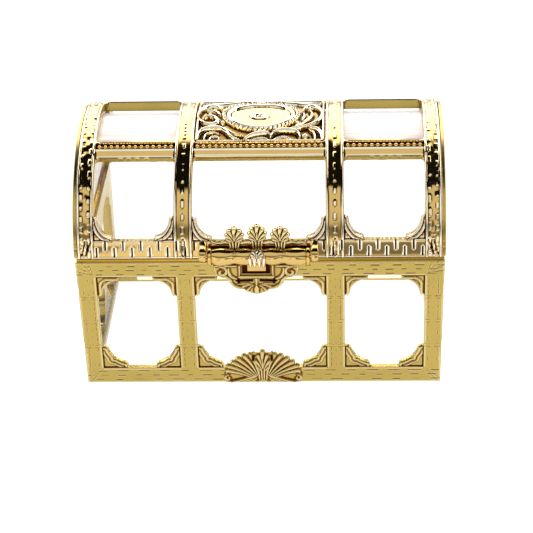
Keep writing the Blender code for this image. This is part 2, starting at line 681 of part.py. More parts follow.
def build_clasp(shop):
    """Half-round bar with its leaf and tongue, its pin, and the two lugs that hold it."""
    loops = [clasp_profile(), axis_loop(CLASP_BORE)]
    bar = flat_slab("clasp_bar", loops, 0.0, 2 * CLASP_HALF)
    shop.file(bar, shop.gold, axis="clasp_axis", matrix=section_matrix(-CLASP_HALF))
    out = CLASP_BACK + CLASP_BULGE
    leaf_loop = palmette_loop(0.0, CLASP_FOOT + 0.1 * MM, CLASP_TOP + 0.3 * MM, 2.6 * MM)
    leaf = flat_slab("clasp_leaf", [leaf_loop], -1.0 * MM, CLASP_LEAF_RISE)
    shop.boolean(bar, leaf, "UNION", axis="clasp_axis", matrix=front_matrix(out))
    tongue_out = 1.5 * MM
    y_low = MIDDLE_Y - HALF_DEPTH - tongue_out
    tongue = box("clasp_tongue", (-TONGUE_HALF, y_low, TONGUE_FOOT),
                 (TONGUE_HALF, y_low + TONGUE, CLASP_FOOT + 2.2 * MM))
    shop.boolean(bar, tongue, "UNION", axis="clasp_axis")
    arm = box("clasp_tongue_arm", (-TONGUE_HALF, y_low - 1.2 * MM, CLASP_FOOT + 1.6 * MM),
              (TONGUE_HALF, y_low + TONGUE, CLASP_FOOT + 2.4 * MM))
    shop.boolean(bar, arm, "UNION", axis="clasp_axis")
    inner = CLASP_HALF + GAP
    pin = rod("clasp_pin", CLASP_PIN_RADIUS, -inner - LUG, inner + LUG, CLASP_AXIS, 16)
    shop.file(pin, shop.steel, axis="clasp_axis")
    for name, side in (("clasp_right_lug", 1), ("clasp_left_lug", -1)):
        back = -HALF_DEPTH - GAP
        centre = (CLASP_AXIS.y - MIDDLE_Y, CLASP_AXIS.z)
        round_end = []
        for k in range(13):
            t = math.radians(80 + 190 * k / 12)
            round_end.append((centre[0] + 2.0 * MM * math.cos(t), centre[1] + 2.0 * MM * math.sin(t)))
        outline = [(back, LID_FOOT + 0.3 * MM), (back, 51.3 * MM)] + round_end
        low, high = sorted((side * inner, side * (inner + LUG)))
        lug = flat_slab(name, [outline, axis_loop(CLASP_BORE)], 0.0, high - low)
        shop.file(lug, shop.gold, axis="lid_hinge_axis", matrix=section_matrix(low))


def main():
    """Build the whole chest."""
    clear_scene()
    shop = Workshop()
    shop.add_axis("lid_hinge_axis", HINGE_AXIS)
    shop.add_axis("clasp_axis", CLASP_AXIS, parent="lid_hinge_axis")
    build_front_frame(shop)
    build_rear_frame(shop)
    build_side_frames(shop)
    build_floor(shop)
    build_base_panes(shop)
    build_hinge_pins(shop)
    build_front_ornaments(shop)
    build_barrel_frame(shop)
    build_lid_ends(shop)
    build_barrel_pane(shop)
    build_medallion(shop)
    build_crest(shop)
    build_clasp(shop)
    bpy.context.view_layer.update()


main()
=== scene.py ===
"""Looks of a gold-plated openwork treasure chest: moulded relief, clear sheets and studio.

Lengths inside this script are millimetres until a piece is placed, where they become metres.
"""
import json
import logging
import math
from collections.abc import Callable, Iterable, Iterator, Sequence
from dataclasses import dataclass, field
from enum import Enum

import bmesh
import bpy
import numpy as np
from bpy.types import Material, Mesh, Node, NodeSocket, NodeTree, Object
from mathutils import Matrix, Vector
from mathutils.geometry import delaunay_2d_cdt


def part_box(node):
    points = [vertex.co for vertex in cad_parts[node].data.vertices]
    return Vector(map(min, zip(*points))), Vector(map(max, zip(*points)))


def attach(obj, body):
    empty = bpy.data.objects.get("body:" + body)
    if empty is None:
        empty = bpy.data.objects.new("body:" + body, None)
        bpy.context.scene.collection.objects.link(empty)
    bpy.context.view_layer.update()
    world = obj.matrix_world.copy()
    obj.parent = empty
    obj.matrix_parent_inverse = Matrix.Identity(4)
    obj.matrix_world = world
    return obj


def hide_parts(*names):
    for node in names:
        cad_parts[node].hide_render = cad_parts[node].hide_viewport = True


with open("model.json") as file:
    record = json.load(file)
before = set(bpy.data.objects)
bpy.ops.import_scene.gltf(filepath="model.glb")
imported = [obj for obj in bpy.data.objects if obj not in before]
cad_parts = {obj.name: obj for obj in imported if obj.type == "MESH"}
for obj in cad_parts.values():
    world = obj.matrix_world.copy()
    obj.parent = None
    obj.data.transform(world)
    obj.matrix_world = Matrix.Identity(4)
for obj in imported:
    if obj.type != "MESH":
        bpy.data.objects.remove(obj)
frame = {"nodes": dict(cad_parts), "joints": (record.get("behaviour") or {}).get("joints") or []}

LOG = logging.getLogger("treasure_chest")
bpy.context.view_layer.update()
MM = 0.001
Array = np.ndarray
Place = Callable[[Array], Array]
Field = Callable[[Array, Array], Array]
Pair = tuple[float, float]
Triple = tuple[float, float, float]
Points = Sequence[Pair]
Input = NodeSocket | NodeTree | float | tuple[float, ...]


# ------------------------------------------------------------------ flat shapes

def ease(low: float, high: float, x: Array) -> Array:
  """Smooth step from 0 at low to 1 at high."""
  t = np.clip((x - low) / (high - low), 0.0, 1.0)
  return t * t * (3 - 2 * t)


def ridge(distance: Array, radius: float | Array, rise: float) -> Array:
  """Half-round ridge over a line, by distance from the line."""
  return rise * np.sqrt(np.clip(1 - (distance / radius) ** 2, 0.0, 1.0))


def groove(distance: Array, width: float, depth: float) -> Array:
  """Soft engraved line, by distance from the line."""
  return -depth * np.exp(-((distance / width) ** 2))


def box_distance(u: Array, v: Array, low: Pair, high: Pair,
                 radius: float = 0.0) -> Array:
  """Signed distance to a rectangle with rounded corners, negative inside."""
  du = np.abs(u - (low[0] + high[0]) / 2) - (high[0] - low[0]) / 2 + radius
  dv = np.abs(v - (low[1] + high[1]) / 2) - (high[1] - low[1]) / 2 + radius
  outside = np.hypot(np.maximum(du, 0), np.maximum(dv, 0))
  return outside + np.minimum(np.maximum(du, dv), 0) - radius


def polygon_distance(u: Array, v: Array, loop: Points) -> Array:
  """Signed distance to a closed polygon, negative inside.

  Args:
      u: Places along the first direction.
      v: Places along the second direction.
      loop: Corners of the polygon in order.
  Returns:
      Distance for each place; far from the polygon it is the distance to its box.
  """
  corners = np.array(loop)
  low, high = corners.min(0) - 3.0, corners.max(0) + 3.0
  result = box_distance(u, v, tuple(low + 3.0), tuple(high - 3.0))
  near = (u > low[0]) & (u < high[0]) & (v > low[1]) & (v < high[1])
  p, q = u[near], v[near]
  best = np.full(p.shape, 1e9)
  inside = np.zeros(p.shape, bool)
  for (au, av), (bu, bv) in zip(corners, np.roll(corners, -1, axis=0)):
    eu, ev = bu - au, bv - av
    length = eu * eu + ev * ev
    if length < 1e-12:
      continue
    t = np.clip(((p - au) * eu + (q - av) * ev) / length, 0, 1)
    best = np.minimum(best, np.hypot(p - au - t * eu, q - av - t * ev))
    crosses = (av > q) != (bv > q)
    if ev:
      inside ^= crosses & (p < au + (q - av) / ev * eu)
  result[near] = np.where(inside, -best, best)
  return result


def jitter(index: Array, seed: float) -> Array:
  """Repeatable scatter between 0 and 1 for whole numbers."""
  value = np.sin(index * 12.9898 + seed * 78.233) * 43758.5453
  return value - np.floor(value)


def hammered(u: Array, v: Array, cell_u: float, cell_v: float, seed: float) -> Array:
  """Smooth random dimples between 0 and 1, one cell apart."""
  gu, gv = u / cell_u, v / cell_v
  iu, iv = np.floor(gu), np.floor(gv)
  fu, fv = ease(0, 1, gu - iu), ease(0, 1, gv - iv)
  corner = [jitter(iu + a + 57 * (iv + b), seed) for b in (0, 1) for a in (0, 1)]
  return ((corner[0] * (1 - fu) + corner[1] * fu) * (1 - fv)
          + (corner[2] * (1 - fu) + corner[3] * fu) * fv)


def round_corner(radius: float, count: int = 6) -> list[Pair]:
  """Plain fillet in a window corner at the origin."""
  turns = (math.pi / 2 * k / count for k in range(count + 1))
  return [(radius - radius * math.sin(t), radius - radius * math.cos(t)) for t in turns]


def bracket_corner(arm_u: float, arm_v: float, lip: float, fullness: float,
                   notch: float = 0.0, count: int = 20) -> list[Pair]:
  """Ornamental bracket that fills a window corner at the origin.

  Args:
      arm_u: Length of the arm along the rail.
      arm_v: Length of the arm along the post.
      lip: Width of the rounded end of each arm.
      fullness: 1 for a quarter ellipse, 2 for a straight free edge.
      notch: Depth of a small nick in the middle of the free edge.
      count: Steps along the free edge.
  Returns:
      Points from the rail to the post.
  """
  step = lip * 0.4
  start, end = (arm_u - step, lip), (lip, arm_v - step)
  points = [(arm_u, 0.0), (arm_u - lip * 0.02, lip * 0.4), (arm_u - lip * 0.15, lip * 0.8)]
  for k in range(count + 1):
    t = math.pi / 2 * k / count
    nick = notch if k == count // 2 else 0.0
    u = start[0] - (start[0] - end[0]) * math.sin(t) ** fullness - nick
    v = end[1] - (end[1] - start[1]) * math.cos(t) ** fullness - nick
    points.append((u, v))
  points += [(lip * 0.8, arm_v - lip * 0.15), (lip * 0.4, arm_v - lip * 0.02), (0.0, arm_v)]
  return points


def pierced(u: Array, v: Array, solid: Array, loops: Iterable[Points]) -> Array:
  """Signed distance to a solid with openings cut through it."""
  for loop in loops:
    solid = np.maximum(solid, -polygon_distance(u, v, loop))
  return solid


def paced(x: Array, period: float | Array, start: float = 0.0) -> tuple[Array, Array]:
  """Number of the period that each place is in, and how far it is from its middle."""
  cell = np.floor((x + start) / period)
  return cell, x + start - (cell + 0.5) * period


def dash_distance(along: Array, off: Array, half: float | Array) -> Array:
  """Distance to a short dash, by the places along it and beside it."""
  return np.hypot(np.maximum(np.abs(along) - half, 0), off)


@dataclass(frozen=True)
class Stroke:
  """A raised line of changing width, such as a scroll, a rib or a leaf's vein."""

  points: tuple[Pair, ...]
  radii: tuple[float, ...]
  rise: float = 1.0

  def sample(self, u: Array, v: Array) -> tuple[Array, Array]:
    """Distance from the centre line and width there.

    Returns:
        Distance and radius for each place.
    """
    line = np.array(self.points)
    stops = np.linspace(0, 1, len(self.radii))
    radii = np.interp(np.linspace(0, 1, len(line)), stops, self.radii)
    best = np.full(u.shape, 1e9)
    radius = np.full(u.shape, radii[0])
    score = np.full(u.shape, 1e9)
    for k in range(len(line) - 1):
      (au, av), (bu, bv) = line[k], line[k + 1]
      eu, ev = bu - au, bv - av
      length = max(eu * eu + ev * ev, 1e-12)
      t = np.clip(((u - au) * eu + (v - av) * ev) / length, 0, 1)
      distance = np.hypot(u - au - t * eu, v - av - t * ev)
      width = radii[k] + (radii[k + 1] - radii[k]) * t
      closer = distance - width < score
      score = np.where(closer, distance - width, score)
      best = np.where(closer, distance, best)
      radius = np.where(closer, width, radius)
    return best, radius


@dataclass
class StrokeField:
  """Strokes that together make one ornament."""

  strokes: list[Stroke]

  def _each(self, u: Array, v: Array) -> Iterator[tuple[Stroke, Array, Array, Array]]:
    """Yield each stroke with the places near it, the distance there and the width."""
    for stroke in self.strokes:
      reach = max(stroke.radii) + 1.5
      line = np.array(stroke.points)
      near = ((u > line[:, 0].min() - reach) & (u < line[:, 0].max() + reach)
              & (v > line[:, 1].min() - reach) & (v < line[:, 1].max() + reach))
      if near.any():
        distance, radius = stroke.sample(u[near], v[near])
        yield stroke, near, distance, radius

  def distance(self, u: Array, v: Array) -> Array:
    """Signed distance to the union of the strokes."""
    result = np.full(u.shape, 1.4)
    for _, near, distance, radius in self._each(u, v):
      result[near] = np.minimum(result[near], distance - radius)
    return result

  def height(self, u: Array, v: Array) -> Array:
    """Height of the highest stroke over each place, 0 beside them all."""
    result = np.zeros(u.shape)
    for stroke, near, distance, radius in self._each(u, v):
      bulge = ridge(distance, radius, 1.0) * stroke.rise
      result[near] = np.maximum(result[near], bulge)
    return result


def scroll(centre: Pair, reach: Pair, turn: Pair,
           radii: tuple[float, ...], rise: float, squash: float = 1.0, count: int = 22) -> Stroke:
  """Spiral stroke about a centre.

  Args:
      centre: Middle of the spiral.
      reach: Distance from the centre at the start and at the end.
      turn: Angle in degrees at the start and at the end.
      radii: Half-widths from start to end.
      rise: Height of the stroke.
      squash: Stretch of the second direction.
      count: Steps along the spiral.
  """
  points = []
  for k in range(count + 1):
    t = k / count
    angle = math.radians(turn[0] + (turn[1] - turn[0]) * t)
    distance = reach[0] + (reach[1] - reach[0]) * t ** 0.8
    points.append((centre[0] + distance * math.cos(angle),
                   centre[1] + squash * distance * math.sin(angle)))
  return Stroke(tuple(points), radii, rise)


def bow(start: Pair, end: Pair, sag: float,
        radii: tuple[float, ...], rise: float, count: int = 10) -> Stroke:
  """Stroke along a shallow bow from start to end, bulging left of its course by sag."""
  (au, av), (bu, bv) = start, end
  length = math.hypot(bu - au, bv - av)
  nu, nv = -(bv - av) / length, (bu - au) / length
  points = []
  for k in range(count + 1):
    t = k / count
    lift = sag * 4 * t * (1 - t)
    points.append((au + (bu - au) * t + nu * lift, av + (bv - av) * t + nv * lift))
  return Stroke(tuple(points), radii, rise)


def smooth_line(points: Points, steps: int = 5) -> list[Pair]:
  """Points along a smooth curve through the given ones."""
  line = np.array([points[0], *points, points[-1]])
  made = []
  for k in range(1, len(line) - 2):
    a, b, c, d = line[k - 1:k + 3]
    for t in np.arange(steps) / steps:
      made.append(0.5 * (2 * b + (c - a) * t + (2 * a - 5 * b + 4 * c - d) * t ** 2
                         + (3 * b - a - 3 * c + d) * t ** 3))
  made.append(line[-1])
  return [(float(u), float(v)) for u, v in made]


def mirrored(strokes: Iterable[Stroke]) -> list[Stroke]:
  """The strokes and their mirror images about the middle."""
  strokes = list(strokes)
  flipped = [Stroke(tuple((-u, v) for u, v in s.points), s.radii, s.rise) for s in strokes]
  return strokes + flipped


# ------------------------------------------------------------------ relief meshes

def grid_lines(low: float, high: float, pitch: float, fine: Iterable[Pair] = (),
               fine_pitch: float = 0.18, marks: Iterable[float] = (),
               spread: Sequence[float] = (-0.2, -0.1, 0.0, 0.1, 0.2)) -> Array:
  """Lines of a grid: even ones, closer ones in the fine spans, and a few round each mark.

  Args:
      low: First line.
      high: Last line.
      pitch: Step of the even lines.
      fine: Spans that need closer lines.
      fine_pitch: Step inside those spans.
      marks: Places of narrow features.
      spread: Offsets of the lines round a mark.
  Returns:
      Sorted places of the lines.
  """
  fine = list(fine)
  even = np.linspace(low, high, max(2, round((high - low) / pitch) + 1))
  for a, b in fine:
    even = even[(even <= a) | (even >= b)]
  sets = [even] + [np.linspace(a, b, max(2, round((b - a) / fine_pitch) + 1)) for a, b in fine]
  plain = np.concatenate(sets)
  marks = np.array(list(marks))
  special = (marks[:, None] + np.array(spread)).ravel() if len(marks) else np.array([])
  special = np.unique(np.round(special[(special > low) & (special < high)], 4))
  if len(special):
    gap = np.abs(plain[:, None] - special[None]).min(1)
    ends = (plain == low) | (plain == high)
    plain = plain[(gap > 0.06) | ends]
  lines = np.unique(np.round(np.concatenate([plain, special]), 4))
  keep = [lines[0]]
  for value in lines[1:]:
    if value - keep[-1] >= 0.035:
      keep.append(value)
  keep[-1] = high
  return np.array(keep)


@dataclass
class ReliefSheet:
  """A moulded sheet: a relief face over a flat back, cut to an outline with openings."""

  name: str
  u_lines: Array
  v_lines: Array
  outline: Field
  height: Field
  back: float
  place: Place
  ground: Field | None = None
  back_pitch: float = 3.0

  def _snap(self, u: Array, v: Array) -> tuple[Array, Array, Array]:
    """Move grid points near the outline onto it.

    Returns:
        The moved places and which of them are kept.
    """
    step = 0.01
    distance = self.outline(u, v)
    slope_u = (self.outline(u + step, v) - self.outline(u - step, v)) / (2 * step)
    slope_v = (self.outline(u, v + step) - self.outline(u, v - step)) / (2 * step)
    size = np.hypot(slope_u, slope_v) + 1e-9
    cell_u = np.gradient(self.u_lines)[None, :] * np.ones_like(u)
    cell_v = np.gradient(self.v_lines)[:, None] * np.ones_like(v)
    cell = np.minimum(cell_u, cell_v) * 0.5 + np.maximum(cell_u, cell_v) * 0.5
    near = np.abs(distance) < 0.47 * cell
    moved_u = np.where(near, u - distance * slope_u / size, u)
    moved_v = np.where(near, v - distance * slope_v / size, v)
    return moved_u, moved_v, near | (distance < 0)

  def build(self) -> Object:
    """Make the closed mesh.

    Returns:
        The object, placed, without a material.
    """
    u, v = np.meshgrid(self.u_lines, self.v_lines)
    u, v, kept = self._snap(u, v)
    rows, columns = u.shape
    index = np.arange(rows * columns).reshape(rows, columns)
    quad = np.stack([index[:-1, :-1], index[:-1, 1:], index[1:, 1:], index[1:, :-1]], -1)
    quad = quad.reshape(-1, 4)
    flat = kept.ravel()
    pu, pv = u.ravel(), v.ravel()
    count = flat[quad].sum(1)
    full = quad[count == 4]
    part = quad[count == 3]
    missing = np.argmin(flat[part], axis=1)
    order = (missing[:, None] + np.array([1, 2, 3])) % 4
    triangles = np.take_along_axis(part, order, axis=1)

    def area(face: Array) -> Array:
      """Signed area of each face."""
      x, y = pu[face], pv[face]
      return 0.5 * (x * np.roll(y, -1, 1) - np.roll(x, -1, 1) * y).sum(1)

    full = full[area(full) > 1e-4]
    triangles = triangles[area(triangles) > 1e-4]
    faces = full.tolist() + triangles.tolist()
    used = np.unique(np.concatenate([full.ravel(), triangles.ravel()]))
    remap = np.full(rows * columns, -1)
    remap[used] = np.arange(len(used))
    pu, pv = pu[used], pv[used]
    heights = self.height(u, v)
    top = np.stack([pu, pv, heights.ravel()[used]], 1)
    mesh = bpy.data.meshes.new(self.name)
    mesh.from_pydata(top.tolist(), [], [[int(remap[i]) for i in face] for face in faces])
    # Relief lift kept on the mesh, from which the platings paint shade into hollows and highlight
    # onto raised edges.
    mark = mesh.attributes.new("painted_light_lift", "FLOAT", "POINT")
    lift = self._lift_for_painted_light(heights) * ease(0.03, 0.22, -self.outline(u, v))
    mark.data.foreach_set("value", lift.ravel()[used])
    if self.ground:
      low = self.ground(pu[None], pv[None])[0] > 0.5
      for face in mesh.polygons:
        face.material_index = 2 if all(low[i] for i in face.vertices) else 0
    self._close(mesh)
    return mesh_object(self.name, mesh, self.place)

  def _lift_for_painted_light(self, heights: Array) -> Array:
    """How far each grid point stands above its surroundings, -1 to 1; the platings lay painted
    shade and painted highlight from it.

    Args:
        heights: Height of every grid point.
    """
    result = np.zeros(heights.shape)
    for reach, depth in ((0.24, 0.09), (0.55, 0.26)):
      for axis, lines in ((1, self.u_lines), (0, self.v_lines)):
        mean = np.zeros(heights.shape)
        for hand in (-reach, reach):
          spot = np.clip(lines + hand, lines[0], lines[-1])
          index = np.clip(np.searchsorted(lines, spot) - 1, 0, len(lines) - 2)
          share = (spot - lines[index]) / (lines[index + 1] - lines[index])
          if axis:
            mean += heights[:, index] * (1 - share) + heights[:, index + 1] * share
          else:
            share = share[:, None]
            mean += heights[index] * (1 - share) + heights[index + 1] * share
        lift = np.clip((heights - mean / 2) / depth, -1, 1)
        result = np.where(np.abs(lift) > np.abs(result), lift, result)
    return result

  def _back_faces(self, rim: Array, links: list[tuple[int, int]]) -> tuple[Array, list]:
    """Triangles of the flat back.

    Args:
        rim: Places of the rim's points.
        links: Pairs of rim points that an edge joins.
    Returns:
        All the back's points, rim first, and its triangles.
    """
    low, high = rim.min(0), rim.max(0)
    spots = np.meshgrid(np.arange(low[0] + 1.3, high[0], self.back_pitch),
                        np.arange(low[1] + 1.3, high[1], self.back_pitch))
    inside = self.outline(spots[0], spots[1]) < -0.5
    inner = np.stack([spots[0][inside], spots[1][inside]], 1)
    points = np.concatenate([rim, inner])
    made = delaunay_2d_cdt([Vector(p) for p in points], links, [], 0, 1e-7)
    places = np.array([tuple(p) for p in made[0]])
    origin = [source[0] if source else -1 for source in made[3]]
    faces = np.array([face for face in made[2] if len(face) == 3])
    middle = places[faces].mean(1)
    kept = faces[self.outline(middle[:, 0][None], middle[:, 1][None])[0] < 0.0]
    triangles = [[origin[i] for i in face] for face in kept]
    return points, [face for face in triangles if min(face) >= 0]

  def _close(self, mesh: Mesh) -> None:
    """Add the side walls and the flat back, in the second finish."""
    edit = bmesh.new()
    edit.from_mesh(mesh)
    bmesh.ops.delete(edit, geom=[f for f in edit.verts if len(f.link_faces) == 0],
                     context="VERTS")
    rim = [edge for edge in edit.edges if len(edge.link_faces) == 1]
    made = bmesh.ops.extrude_edge_only(edit, edges=rim)["geom"]
    low = [item for item in made if isinstance(item, bmesh.types.BMVert)]
    number = {vert: k for k, vert in enumerate(low)}
    for vert in low:
      vert.co.z = self.back
    links = []
    for item in made:
      if isinstance(item, bmesh.types.BMFace):
        item.material_index = 1
      elif isinstance(item, bmesh.types.BMEdge):
        ends = [number.get(vert, -1) for vert in item.verts]
        if min(ends) >= 0:
          links.append(tuple(ends))
    points, triangles = self._back_faces(np.array([vert.co[:2] for vert in low]), links)
    verts = low + [edit.verts.new((u, v, self.back)) for u, v in points[len(low):]]
    for face in triangles:
      edit.faces.new([verts[i] for i in face]).material_index = 1
    bmesh.ops.recalc_face_normals(edit, faces=edit.faces)
    edit.to_mesh(mesh)
    edit.free()


def add_object(name: str, data: bpy.types.ID) -> Object:
  """New object in the scene that holds a mesh, a light or a camera."""
  obj = bpy.data.objects.new(name, data)
  bpy.context.scene.collection.objects.link(obj)
  return obj


def finished(edit: bmesh.types.BMesh, name: str) -> Mesh:
  """New mesh from an edited one, which is freed."""
  mesh = bpy.data.meshes.new(name)
  edit.to_mesh(mesh)
  edit.free()
  return mesh


def mesh_object(name: str, mesh: Mesh, place: Place | None = None,
                sharp: float = 48.0) -> Object:
  """Put a mesh in millimetres into the scene, in metres.

  Args:
      name: Name of the piece.
      mesh: Its mesh.
      place: Moves points from the piece's own frame to the chest's.
      sharp: Angle in degrees past which an edge is sharp.
  """
  points = np.empty(len(mesh.vertices) * 3, np.float32)
  mesh.vertices.foreach_get("co", points)
  points = points.reshape(-1, 3).astype(float)
  if place:
    points = place(points)
  mesh.vertices.foreach_set("co", (points * MM).astype(np.float32).ravel())
  mesh.update()
  mesh.shade_smooth()
  mesh.set_sharp_from_angle(angle=math.radians(sharp))
  return add_object(name, mesh)


def swept_mesh(name: str, rings: Array, closed_path: bool = False) -> Mesh:
  """Mesh over rings of points, each closed on itself.

  Args:
      name: Name of the mesh.
      rings: Points as path steps, points round each ring, 3.
      closed_path: Whether the last ring joins the first, else both ends are capped.
  """
  steps, around, _ = rings.shape
  index = np.arange(steps * around).reshape(steps, around)
  faces = []
  for i in range(steps if closed_path else steps - 1):
    for j in range(around):
      a, b = index[i], index[(i + 1) % steps]
      faces.append([a[j], b[j], b[(j + 1) % around], a[(j + 1) % around]])
  if not closed_path:
    faces.append(index[0].tolist())
    faces.append(index[-1][::-1].tolist())
  mesh = bpy.data.meshes.new(name)
  mesh.from_pydata(rings.reshape(-1, 3).tolist(), [], [[int(i) for i in f] for f in faces])
  edit = bmesh.new()
  edit.from_mesh(mesh)
  bmesh.ops.recalc_face_normals(edit, faces=edit.faces)
  edit.to_mesh(mesh)
  edit.free()
  return mesh


def joined(name: str, meshes: Sequence[Mesh]) -> Mesh:
  """One mesh that holds several."""
  edit = bmesh.new()
  for mesh in meshes:
    edit.from_mesh(mesh)
    bpy.data.meshes.remove(mesh)
  return finished(edit, name)


# ------------------------------------------------------------------ shader groups and finishes

class Graph:
  """Short way to build a node tree."""

  def __init__(self, tree: NodeTree) -> None:
    """Keep the tree."""
    self.tree = tree

  def node(self, kind: str, settings: dict | None = None, **inputs: Input) -> Node:
    """Add a node.

    Args:
        kind: Node type without its prefix.
        settings: Attributes to set.
        inputs: Values or output sockets by input name, spaces written as underscores.
    """
    made = self.tree.nodes.new("ShaderNode" + kind)
    for key, value in (settings or {}).items():
      setattr(made, key, value)
    for key, value in inputs.items():
      socket = made.inputs[int(key[1:])] if key[0] == "i" and key[1:].isdigit() \
          else made.inputs[key.replace("_", " ")]
      self.feed(socket, value)
    return made

  def feed(self, socket: NodeSocket, value: Input) -> None:
    """Link an output socket to an input, or set the input's value."""
    if isinstance(value, NodeSocket):
      self.tree.links.new(value, socket)
    else:
      socket.default_value = value

  def math(self, operation: str, a: Input, b: Input = 0.5, clamp: bool = False) -> NodeSocket:
    """Math node's result."""
    made = self.node("Math", {"operation": operation, "use_clamp": clamp}, i0=a, i1=b)
    return made.outputs[0]

  def blend(self, factor: Input, a: Input, b: Input) -> NodeSocket:
    """Colour mix node's result."""
    made = self.node("Mix", {"data_type": "RGBA"})
    self.feed(made.inputs[0], factor)
    self.feed(made.inputs[6], a)
    self.feed(made.inputs[7], b)
    return made.outputs[2]

  def remap(self, value: Input, low: float, high: float, to_low: float = 0.0,
            to_high: float = 1.0) -> NodeSocket:
    """Map range node's result."""
    made = self.node("MapRange", {"interpolation_type": "SMOOTHSTEP"}, Value=value)
    for key, number in zip(("From Min", "From Max", "To Min", "To Max"),
                           (low, high, to_low, to_high)):
      made.inputs[key].default_value = number
    return made.outputs[0]


def new_group(name: str, inputs: dict[str, tuple[str, float]],
              outputs: dict[str, str]) -> tuple[NodeTree, Graph, dict, Node]:
  """Start a shader node group.

  Args:
      name: Name of the group.
      inputs: Socket type and default by name.
      outputs: Socket type by name.
  Returns:
      The tree, its graph, the group's input sockets by name, and its output node.
  """
  tree = bpy.data.node_groups.new(name, "ShaderNodeTree")
  for key, (kind, default) in inputs.items():
    socket = tree.interface.new_socket(key, in_out="INPUT", socket_type=kind)
    socket.default_value = default
  for key, kind in outputs.items():
    tree.interface.new_socket(key, in_out="OUTPUT", socket_type=kind)
  start = tree.nodes.new("NodeGroupInput")
  end = tree.nodes.new("NodeGroupOutput")
  return tree, Graph(tree), {key: start.outputs[key] for key in inputs}, end


FLOAT, COLOR = "NodeSocketFloat", "NodeSocketColor"


class Effects:
  """Shader effects that several finishes share, each built once as a node group."""

  def __init__(self) -> None:
    """Build the groups."""
    self.recess = self._painted_light_masks()
    self.dimples = self._dimples()
    self.tarnish = self._tarnish()
    self.streaks = self._streaks()

  @staticmethod
  def _painted_light_masks() -> NodeTree:
    """Mask of painted shade in the hollows and mask of painted highlight on the raised edges,
    from the relief stored on the mesh.
    """
    tree, graph, _, end = new_group("painted_shade_and_highlight", {}, {"Hollow": FLOAT, "Edge": FLOAT})
    lift = graph.node("Attribute", {"attribute_name": "painted_light_lift"}).outputs["Fac"]
    graph.feed(end.inputs["Hollow"], graph.remap(lift, -0.25, -0.95))
    graph.feed(end.inputs["Edge"], graph.remap(lift, 0.2, 0.9))
    return tree

  @staticmethod
  def _dimples() -> NodeTree:
    """Fine orange-peel height of a plated moulding."""
    tree, graph, start, end = new_group(
        "plating_texture", {"Scale": (FLOAT, 900.0), "Waves": (FLOAT, 260.0)},
        {"Height": FLOAT})
    place = graph.node("TexCoord").outputs["Object"]
    fine = graph.node("TexNoise", Vector=place, Scale=start["Scale"], Detail=3.0)
    wide = graph.node("TexNoise", Vector=place, Scale=start["Waves"], Detail=1.0)
    height = graph.math("ADD", graph.math("MULTIPLY", fine.outputs[0], 0.3),
                        wide.outputs[0])
    graph.feed(end.inputs["Height"], height)
    return tree

  @staticmethod
  def _tarnish() -> NodeTree:
    """Cloudy variation of the plating and tiny dust specks."""
    tree, graph, start, end = new_group(
        "plating_clouds", {"Scale": (FLOAT, 60.0)}, {"Cloud": FLOAT, "Speck": FLOAT})
    place = graph.node("TexCoord").outputs["Object"]
    cloud = graph.node("TexNoise", Vector=place, Scale=start["Scale"], Detail=4.0)
    speck = graph.node("TexNoise", Vector=place, Scale=1400.0, Detail=1.0)
    graph.feed(end.inputs["Cloud"], graph.remap(cloud.outputs[0], 0.35, 0.68))
    graph.feed(end.inputs["Speck"], graph.remap(speck.outputs[0], 0.70, 0.78))
    return tree

  @staticmethod
  def _streaks() -> NodeTree:
    """Fine streaks that run along a rolled clear sheet, and broad soft ones."""
    tree, graph, start, end = new_group(
        "sheet_streaks", {"Along": (FLOAT, 9.0), "Across": (FLOAT, 900.0)},
        {"Fine": FLOAT, "Broad": FLOAT})
    place = graph.node("TexCoord").outputs["Object"]
    stretch = graph.node("CombineXYZ", X=start["Along"], Y=start["Across"],
                         Z=start["Across"])
    moved = graph.node("VectorMath", {"operation": "MULTIPLY"}, i0=place,
                       i1=stretch.outputs[0])
    fine = graph.node("TexNoise", Vector=moved.outputs[0], Scale=1.0, Detail=4.0)
    scaled = graph.node("VectorMath", {"operation": "SCALE"}, i0=moved.outputs[0],
                        Scale=0.22)
    broad = graph.node("TexNoise", Vector=scaled.outputs[0], Scale=1.0, Detail=2.0)
    graph.feed(end.inputs["Fine"], graph.remap(fine.outputs[0], 0.42, 0.66))
    graph.feed(end.inputs["Broad"], graph.remap(broad.outputs[0], 0.38, 0.66))
    return tree


def start_material(name: str) -> tuple[Material, Graph, Node]:
  """New material with its graph and its Principled shader."""
  material = bpy.data.materials.new(name)
  material.use_nodes = True
  graph = Graph(material.node_tree)
  return material, graph, material.node_tree.nodes["Principled BSDF"]


